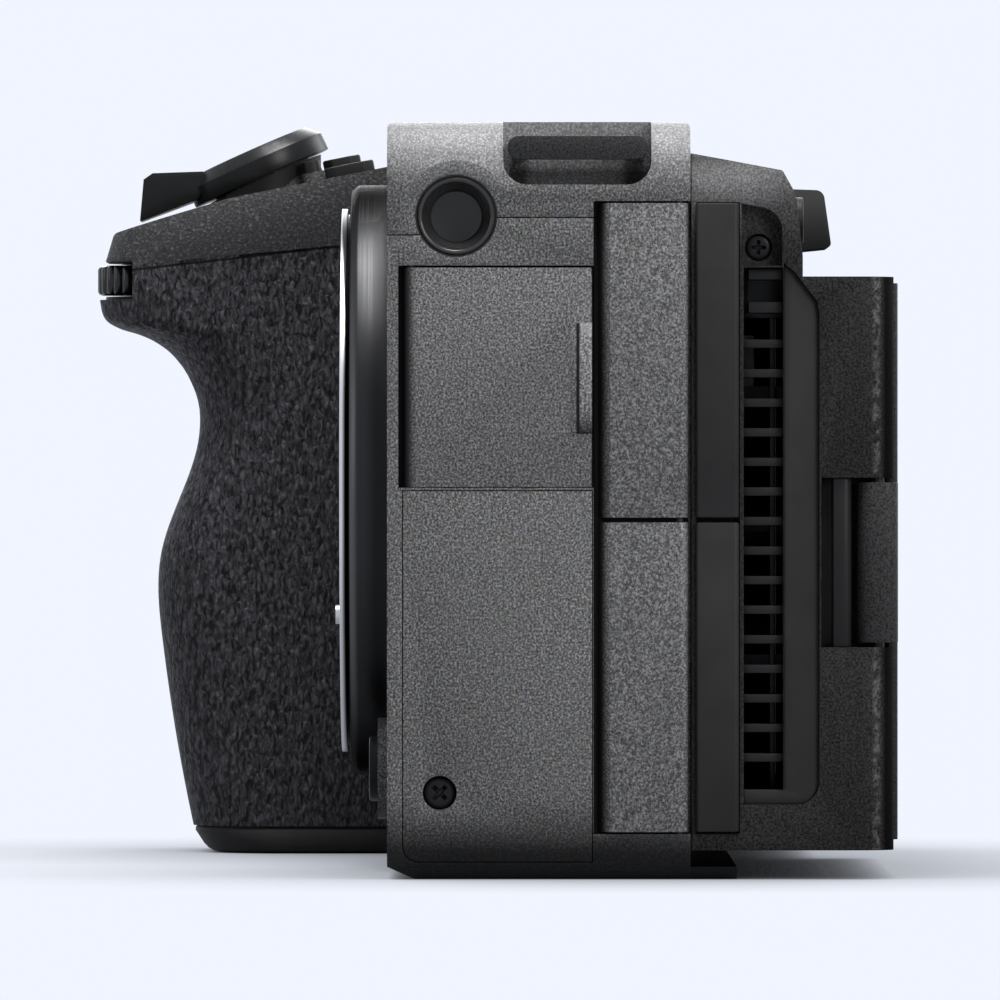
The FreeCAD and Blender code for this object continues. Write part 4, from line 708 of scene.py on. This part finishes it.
def carve(obj, *shapes):
    """Cut other shapes out of a piece for good, and drop the shapes."""
    cutters = [plain_object("cutter", bm) for bm in shapes]
    for cutter in cutters:
        modifier = obj.modifiers.new("cut", "BOOLEAN")
        modifier.operation = "DIFFERENCE"
        modifier.solver = "EXACT"
        modifier.object = cutter
    bpy.context.view_layer.update()
    evaluated = obj.evaluated_get(bpy.context.evaluated_depsgraph_get())
    fresh = bpy.data.meshes.new_from_object(evaluated)
    obj.modifiers.clear()
    obj.data = fresh
    for cutter in cutters:
        bpy.data.objects.remove(cutter)


# Grip skin


GRIP_LEVELS = (
    (0.2, -30.3),
    (3.0, -32.0),
    (24.0, -35.5),
    (33.0, -35.6),
    (44.0, -31.8),
    (48.9, -31.35),
    (52.6, -32.6),
    (55.0, -34.4),
    (56.4, -36.3),
    (57.3, -38.3),
    (57.9, -40.3),
    (58.8, -41.7),
    (60.6, -42.3),
    (62.5, -42.3),
    (80.0, -39.0),
)
GRIP_OUTER_ROUND = 12.0
GRIP_INNER_ROUND = 8.0
SKIN_FOOT = 3.0
SKIN_GAP = 0.3
LIP_START = 0.84
SKIN_RINGS = 56
SEAM_PLAN_Y = -35.0
BAY_PLAY = 0.15
BATTERY_BAY = (
    (low_of("battery", X) - BAY_PLAY, low_of("battery", Y) - BAY_PLAY, -1.0),
    (high_of("battery", X) + BAY_PLAY, high_of("battery", Y) + BAY_PLAY, 54.2),
)
BAND_BAY = ((-61.3, -25.8, -1.0), (-36.8, 14.2, 5.0))
BAND_PROFILE = ((0.2, 0.5), (0.5, 0.15), (1.0, 0.02), (2.5, 0.02), (2.8, 0.2), (3.1, 0.5))
NOSE_SLOT = ((-66.0, -60.0, 61.0), (-34.0, -38.6, 66.0))
DIAL_SLOT_RADIUS, DIAL_SLOT_HEIGHT = 7.3, 3.9
SIDE_THREAD_BORE, SIDE_THREAD_REACH = 4.25, 13.0


def front_at(height):
    """Front of the grip at a height, on a smooth curve through the levels."""
    points = GRIP_LEVELS
    for i in range(len(points) - 1):
        if points[i][0] <= height <= points[i + 1][0]:
            break
    (z0, y0), (z1, y1) = points[i], points[i + 1]
    before = points[max(i - 1, 0)]
    after = points[min(i + 2, len(points) - 1)]
    step = z1 - z0
    m0 = (y1 - before[1]) / (z1 - before[0]) if i else (y1 - y0) / step
    m1 = (after[1] - y0) / (after[0] - z0) if i < len(points) - 2 else (y1 - y0) / step
    t = (height - z0) / step
    a = 2 * t**3 - 3 * t**2 + 1
    b = t**3 - 2 * t**2 + t
    c = -2 * t**3 + 3 * t**2
    d = t**3 - t**2
    return a * y0 + b * step * m0 + c * y1 + d * step * m1


def seam_height(y):
    return SEAM_Z + SEAM_SLOPE * (y - SEAM_Y)


def corner(cx, cy, radius, start, end, steps):
    """Points along a quarter of a circle, from one angle to another in degrees."""
    angles = (math.radians(start + (end - start) * i / steps) for i in range(steps + 1))
    return [(cx + radius * math.cos(a), cy + radius * math.sin(a)) for a in angles]


def grip_outline(front, inset=0.0):
    """Points round the grip at one level, anticlockwise from the outer back corner."""
    x0, x1 = GRIP_FACE_X + inset, GRIP_INNER_X - inset
    y, back = front + inset, GRIP_BACK_Y
    outer, inner = GRIP_OUTER_ROUND - inset, GRIP_INNER_ROUND - inset
    side = 14
    ring = [(x0, back + (y + outer - back) * i / side) for i in range(side)]
    ring += corner(x0 + outer, y + outer, outer, 180, 270, 14)
    ring += corner(x1 - inner, y + inner, inner, 270, 360, 12)
    ring += [(x1, y + inner + (back - y - inner) * i / side) for i in range(1, side + 1)]
    return ring


def grip_skin():
    """Leather skin of the grip: a smooth closed form from its foot up to the slanted seam."""
    low_part = [LIP_START * k / SKIN_RINGS for k in range(SKIN_RINGS)]
    lip_part = [LIP_START + (1 - LIP_START) * k / SKIN_RINGS for k in range(SKIN_RINGS + 1)]
    tops = [seam_height(y) - SKIN_GAP for x, y in grip_outline(SEAM_PLAN_Y)]
    rings = []
    for share in low_part + lip_part:
        # Each ring leans: it is level at the foot and follows the seam at the top.
        heights = [SKIN_FOOT + (top - SKIN_FOOT) * share for top in tops]
        rings.append([(*grip_outline(front_at(z))[i], z) for i, z in enumerate(heights)])
    bm = bmesh.new()
    loft(bm, rings)
    return mesh_piece("grip_skin", bm, looks["grip_leather"], "body")


skin = grip_skin()
carve(
    skin,
    box(*BATTERY_BAY),
    rod((DIAL_X, DIAL_Y, DIAL_Z), (0, 0, 1), DIAL_SLOT_RADIUS, DIAL_SLOT_HEIGHT),
    box(*NOSE_SLOT),
    rod((GRIP_FACE_X, SIDE_THREAD_Y, SIDE_THREAD_Z), (1, 0, 0), SIDE_THREAD_BORE, SIDE_THREAD_REACH),
)
shade(skin, 50.0)
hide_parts("grip_shell")


def grip_base():
    """Smooth band round the foot of the grip."""
    bm = bmesh.new()
    loft(bm, [[(x, y, z) for x, y in grip_outline(front_at(z), inset)] for z, inset in BAND_PROFILE])
    return mesh_piece("grip_base_band", bm, band_look, "body")


band = grip_base()
carve(band, box(*BAND_BAY))
shade(band, 40.0)


# Threaded bushes and screws


BUSH_PLACES = [
    ((PORT_FACE_X, SIDE_THREAD_Y, SIDE_THREAD_Z), (-1, 0, 0)),
    ((GRIP_FACE_X, SIDE_THREAD_Y, SIDE_THREAD_Z), (1, 0, 0)),
    *(((x, y, TOP_FACE_Z), (0, 0, -1)) for x, y in TOP_THREADS),
]
BUSH_FLOOR = [(0.0, 5.68), (2.5, 5.68), (2.9, 5.6)]
BUSH_LIP = [(2.75, 1.45), (2.82, 1.25), (3.02, 1.05), (3.4, 0.42), (3.5, 0.16), (3.66, 0.04), (3.84, 0.04)]
BUSH_OUTSIDE = [(3.98, 0.16), (4.05, 0.4), (4.05, 0.6), (4.19, 0.6), (4.19, 6.45), (0.0, 6.45)]
THREAD_ROOT, THREAD_CREST = 2.95, 2.6
THREAD_PITCH, THREAD_END, THREAD_TURNS = 1.3, 5.5, 3


def threaded_bushes():
    """Closed threaded bushes with a rounded lip, a step and thread ridges."""
    threads = []
    for turn in range(THREAD_TURNS):
        start = THREAD_END - THREAD_PITCH * turn
        threads += [(THREAD_ROOT, start), (THREAD_CREST, start - 0.4)]
        threads += [(THREAD_CREST, start - 0.6), (THREAD_ROOT, start - 1.0)]
    bm = bmesh.new()
    for place, direction in BUSH_PLACES:
        revolve(bm, BUSH_FLOOR + threads + BUSH_LIP + BUSH_OUTSIDE, place, direction)
    outward(bm)
    return mesh_piece("threaded_bushes", bm, bush_look, "body")


bushes = threaded_bushes()
shade(bushes, 38.0)
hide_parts("thread_inserts")

# Each screw has a place, a direction into the part, a head radius, a length and a turn in degrees.
PANEL_SCREW = ((PORT_FACE_X - 0.7, -4.3, 8.9), (-1, 0, 0), 1.75, 0.9, 0.0)
REAR_SCREW = ((VENT_FRAME_X - 1.3, 28.4, 64.8), (-1, 0, 0), 1.4, 1.3, 45.0)
MOUNT_SCREW_CIRCLE, MOUNT_SCREW_RADIUS, MOUNT_SCREW_LENGTH = 26.3, 1.7, 1.0


def mount_screw(angle):
    """One of the lens mount's screws, at an angle round the lens axis."""
    x = LENS_X + MOUNT_SCREW_CIRCLE * math.cos(math.radians(angle))
    z = LENS_Z + MOUNT_SCREW_CIRCLE * math.sin(math.radians(angle))
    return (x, MOUNT_FACE_Y, z), (0, 1, 0), MOUNT_SCREW_RADIUS, MOUNT_SCREW_LENGTH, angle * 0.7


SCREWS = [PANEL_SCREW, REAR_SCREW] + [mount_screw(angle) for angle in (45.0, 135.0, 225.0, 315.0)]


def cross_shape(bm, centre, direction, reach, depth, turn):
    """Tapered cross, the shape of a screwdriver's tip."""
    way, side, other = square_axes(direction)
    rows = []
    for level, size in ((-0.3, 1.06), (0.0, 1.0), (depth, 0.5)):
        row = []
        arm, half = reach * size, reach * 0.24 * size
        for quarter in range(4):
            angle = math.radians(turn + 90 * quarter)
            ahead = side * math.cos(angle) + other * math.sin(angle)
            left = way.cross(ahead)
            for forward, sideways in ((half, -half), (arm, -half), (arm, half)):
                row.append(Vector(centre) + way * level + ahead * forward + left * sideways)
        rows.append(row)
    loft(bm, rows)


def screw_heads():
    """Slightly domed screw heads with a cross in each."""
    play, cross_depth = 0.03, 0.55
    heads, crosses = bmesh.new(), bmesh.new()
    for place, direction, radius, length, turn in SCREWS:
        r = radius - play
        dome = [(0.0, 0.0), (r - 0.75, 0.0), (r - 0.3, 0.05), (r - 0.1, 0.16), (r, 0.32)]
        revolve(heads, dome + [(r, length - 0.02), (0.0, length - 0.02)], place, direction, 48)
        cross_shape(crosses, place, direction, radius * 0.55, cross_depth, turn)
    outward(heads)
    piece = mesh_piece("screw_heads", heads, oxide_look, "body")
    carve(piece, crosses)
    return piece


heads = screw_heads()
shade(heads, 35.0)
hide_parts("screws")


# Front dial


DIAL_LOW_Z, DIAL_HEIGHT, DIAL_RADIUS = 61.6, 3.3, 7.0
KNURL_EDGE, KNURL_DEPTH, KNURL_TEETH = 0.45, 0.5, 32
AXLE_RADIUS, AXLE_REACH, AXLE_BORE = 1.4, 1.4, 1.6


def knurled_wheel(bm, centre, radius, height, teeth):
    """Upright wheel whose rim is a row of rounded bars."""
    x, y, low = centre
    count = teeth * 8
    levels = ((0.0, KNURL_EDGE), (KNURL_EDGE * 0.35, KNURL_EDGE * 0.3), (KNURL_EDGE, 0.0))
    rings = []
    for z, inset in [*levels, *((height - z, inset) for z, inset in reversed(levels))]:
        ring = []
        for k in range(count):
            angle = 2 * math.pi * k / count
            bar = abs(math.cos(teeth * angle / 2)) ** 0.6
            reach = radius - inset - KNURL_DEPTH * (1 - bar)
            ring.append((x + reach * math.cos(angle), y + reach * math.sin(angle), low + z))
        rings.append(ring)
    loft(bm, rings)


def dial_piece(name, node, centre, radius, height, teeth, axle):
    """Knurled wheel with an axle that stands out at both ends."""
    bm = bmesh.new()
    knurled_wheel(bm, centre, radius, height, teeth)
    stub = bmesh.new()
    low, high = -axle, height + axle
    profile = [(0.0, low), (AXLE_RADIUS, low), (AXLE_RADIUS, high), (0.0, high)]
    revolve(stub, profile, centre, (0, 0, 1), 32)
    mesh = bpy.data.meshes.new("axle")
    stub.to_mesh(mesh)
    stub.free()
    bm.from_mesh(mesh)
    bpy.data.meshes.remove(mesh)
    piece = mesh_piece(name, bm, dial_look, node)
    shade(piece, 30.0)
    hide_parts(node)


dial_foot = (DIAL_X, DIAL_Y, DIAL_LOW_Z)
dial_piece("front_dial_wheel", "front_dial", dial_foot, DIAL_RADIUS, DIAL_HEIGHT, KNURL_TEETH, AXLE_REACH)

BED_UNDER = [(0.0, 60.6), (5.7, 60.6), (6.1, 60.9), (6.1, 61.45), (0.0, 61.45)]
BED_OVER = [(0.0, 65.05), (4.4, 65.05), (4.4, 66.6), (0.0, 66.6)]


def dial_bed():
    """Black discs of the dial's slot, under and over the wheel."""
    bm = bmesh.new()
    for profile in (BED_UNDER, BED_OVER):
        revolve(bm, profile, (DIAL_X, DIAL_Y, 0.0), (0, 0, 1), 64)
    outward(bm)
    piece = mesh_piece("dial_bed", bm, looks["black_plastic"], "body")
    carve(piece, rod((DIAL_X, DIAL_Y, DIAL_Z), (0, 0, 1), AXLE_BORE, 12.0))
    shade(piece, 30.0)


dial_bed()


# Zoom ring's seat


SEAT_MIDDLE = (-50.0, -24.9)
SEAT_PROFILE = ((68.0, 7.6), (70.6, 7.2), (71.4, 6.9), (82.0, 6.9))
SEAT_FRONT_Y = -28.4
SEAT_BORE = 5.75
RING_HALF_HEIGHT = 1.85


def zoom_seat():
    """Black seat on the cap that carries the leaning zoom ring and stops short of its lever."""
    rings = []
    for height, radius in SEAT_PROFILE:
        turns = [2 * math.pi * k / 72 for k in range(72)]
        x, y = SEAT_MIDDLE
        rings.append([(x + radius * math.cos(a), y + radius * math.sin(a), height) for a in turns])
    bm = bmesh.new()
    loft(bm, rings)
    way = Vector((0.0, -math.sin(ZOOM_LEAN), math.cos(ZOOM_LEAN)))
    under = (Vector(ZOOM_PIVOT) - way * RING_HALF_HEIGHT) * MM
    front = Vector((0.0, SEAT_FRONT_Y, 0.0)) * MM
    for point, normal in ((under, way), (front, Vector((0.0, -1.0, 0.0)))):
        geometry = bm.verts[:] + bm.edges[:] + bm.faces[:]
        cut = bmesh.ops.bisect_plane(bm, geom=geometry, plane_co=point, plane_no=normal, clear_outer=True)
        edges = [e for e in cut["geom_cut"] if isinstance(e, bmesh.types.BMEdge)]
        bmesh.ops.holes_fill(bm, edges=edges)
    outward(bm)
    piece = mesh_piece("zoom_seat", bm, looks["black_plastic"], "body")
    carve(piece, rod(ZOOM_PIVOT, way, SEAT_BORE, 30.0))
    shade(piece, 30.0)


zoom_seat()


# Cooling duct


FIN_THICKNESS = 0.22
FIN_OFFSET_Y = 1.27
FIN_SHORTER = 3.0
FAN_CLEARANCE = 0.35
RIB_CLEARANCE = 0.3
FIN_LEAST_DEPTH = 0.25


def duct_fin():
    """Thin upright fin that shows in the cooling duct between the fan and the ribs."""
    low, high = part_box("vent_grille")
    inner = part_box("fan_rotor")[1][0] / MM + FAN_CLEARANCE
    outer = max(low[0] / MM - RIB_CLEARANCE, inner + FIN_LEAST_DEPTH)
    y = (low[1] + high[1]) / 2 / MM + FIN_OFFSET_Y
    bottom, top = low[2] / MM + FIN_SHORTER / 2, high[2] / MM - FIN_SHORTER / 2
    bm = box((inner, y - FIN_THICKNESS / 2, bottom), (outer, y + FIN_THICKNESS / 2, top))
    mesh_piece("duct_fin", bm, fin_look, "body", smooth=False)


duct_fin()


# Stage, camera and light


def seen_share(tree):
    """1 for rays from the camera, from mirrors and through glass, 0 for all others."""
    path = tree.nodes.new("ShaderNodeLightPath")
    share = path.outputs["Is Camera Ray"]
    for kind in ("Is Glossy Ray", "Is Transmission Ray"):
        larger = tree.nodes.new("ShaderNodeMath")
        larger.operation = "MAXIMUM"
        tree.links.new(share, larger.inputs[0])
        tree.links.new(path.outputs[kind], larger.inputs[1])
        share = larger.outputs[0]
    return share


def mix_seen(tree, unseen, seen, output):
    """One shader for rays that show the surface, another for the light that it throws back."""
    mixed = tree.nodes.new("ShaderNodeMixShader")
    tree.links.new(seen_share(tree), mixed.inputs[0])
    tree.links.new(unseen.outputs[0], mixed.inputs[1])
    tree.links.new(seen.outputs[0], mixed.inputs[2])
    tree.links.new(mixed.outputs[0], output.inputs["Surface"])


def floor():
    """Floor in the background's colour, darker close to the object, which gives the object its shadow."""
    bm = bmesh.new()
    bmesh.ops.create_grid(bm, x_segments=1, y_segments=1, size=6.0)
    obj = plain_object("floor", bm)
    look = Look("floor_look", Roughness=0.9, Specular_IOR_Level=0.1, Base_Color=(0.22, 0.22, 0.23))
    shaded = look.node("AmbientOcclusion")
    look.put(shaded.inputs["Distance"], 0.05)
    look.put(shaded.inputs["Color"], BACKGROUND)
    shine = look.node("Emission")
    look.put(shine.inputs["Color"], shaded.outputs["Color"])
    mix_seen(look.tree, look.shader, shine, look.tree.nodes["Material Output"])
    obj.data.materials.append(look.material)


def world():
    """Dim even light from all round, and the background's colour where the world is seen."""
    made = bpy.data.worlds.new("studio")
    bpy.context.scene.world = made
    made.use_nodes = True
    tree = made.node_tree
    plain = tree.nodes["Background"]
    plain.inputs["Color"].default_value = (0.95, 0.97, 1.0, 1.0)
    plain.inputs["Strength"].default_value = 0.08
    seen = tree.nodes.new("ShaderNodeBackground")
    seen.inputs["Color"].default_value = BACKGROUND
    seen.inputs["Strength"].default_value = 1.0
    mix_seen(tree, plain, seen, tree.nodes["World Output"])


def lamp(name, place, size, power, target=(0.0, 0.0, 0.04)):
    """Area lamp; its place and size are in metres."""
    data = bpy.data.lights.new(name, "AREA")
    data.shape = "RECTANGLE"
    data.size, data.size_y = size
    data.energy = power
    obj = bpy.data.objects.new(name, data)
    bpy.context.scene.collection.objects.link(obj)
    obj.location = place
    direction = Vector(target) - Vector(place)
    obj.rotation_euler = direction.to_track_quat("-Z", "Y").to_euler()


def camera():
    """Distant camera that looks at the port side square on, as in the photo."""
    data = bpy.data.cameras.new("camera")
    data.sensor_width = 36.0
    data.lens = 474.8
    data.clip_start = 0.05
    data.clip_end = 50.0
    obj = bpy.data.objects.new("camera", data)
    bpy.context.scene.collection.objects.link(obj)
    obj.location = (1.415, 0.00188, 0.0389)
    obj.rotation_euler = (math.radians(90.0), 0.0, math.radians(90.0))
    bpy.context.scene.camera = obj


floor()
world()
camera()
lamp("top_lamp", (0.07, 0.03, 0.8), (0.3, 0.6), 14.0, target=(0.0, 0.0, 0.05))
lamp("side_lamp", (0.86, 0.7, 0.46), (0.4, 0.5), 7.2)
lamp("rim_lamp", (0.35, -1.15, 0.35), (0.3, 0.5), 1.2)
lamp("far_lamp", (-1.0, -0.1, 0.45), (0.6, 0.6), 5.0)
lamp("back_lamp", (-0.85, 0.9, 0.45), (0.6, 0.5), 4.0)

scene = bpy.context.scene
scene.view_settings.view_transform = "Standard"
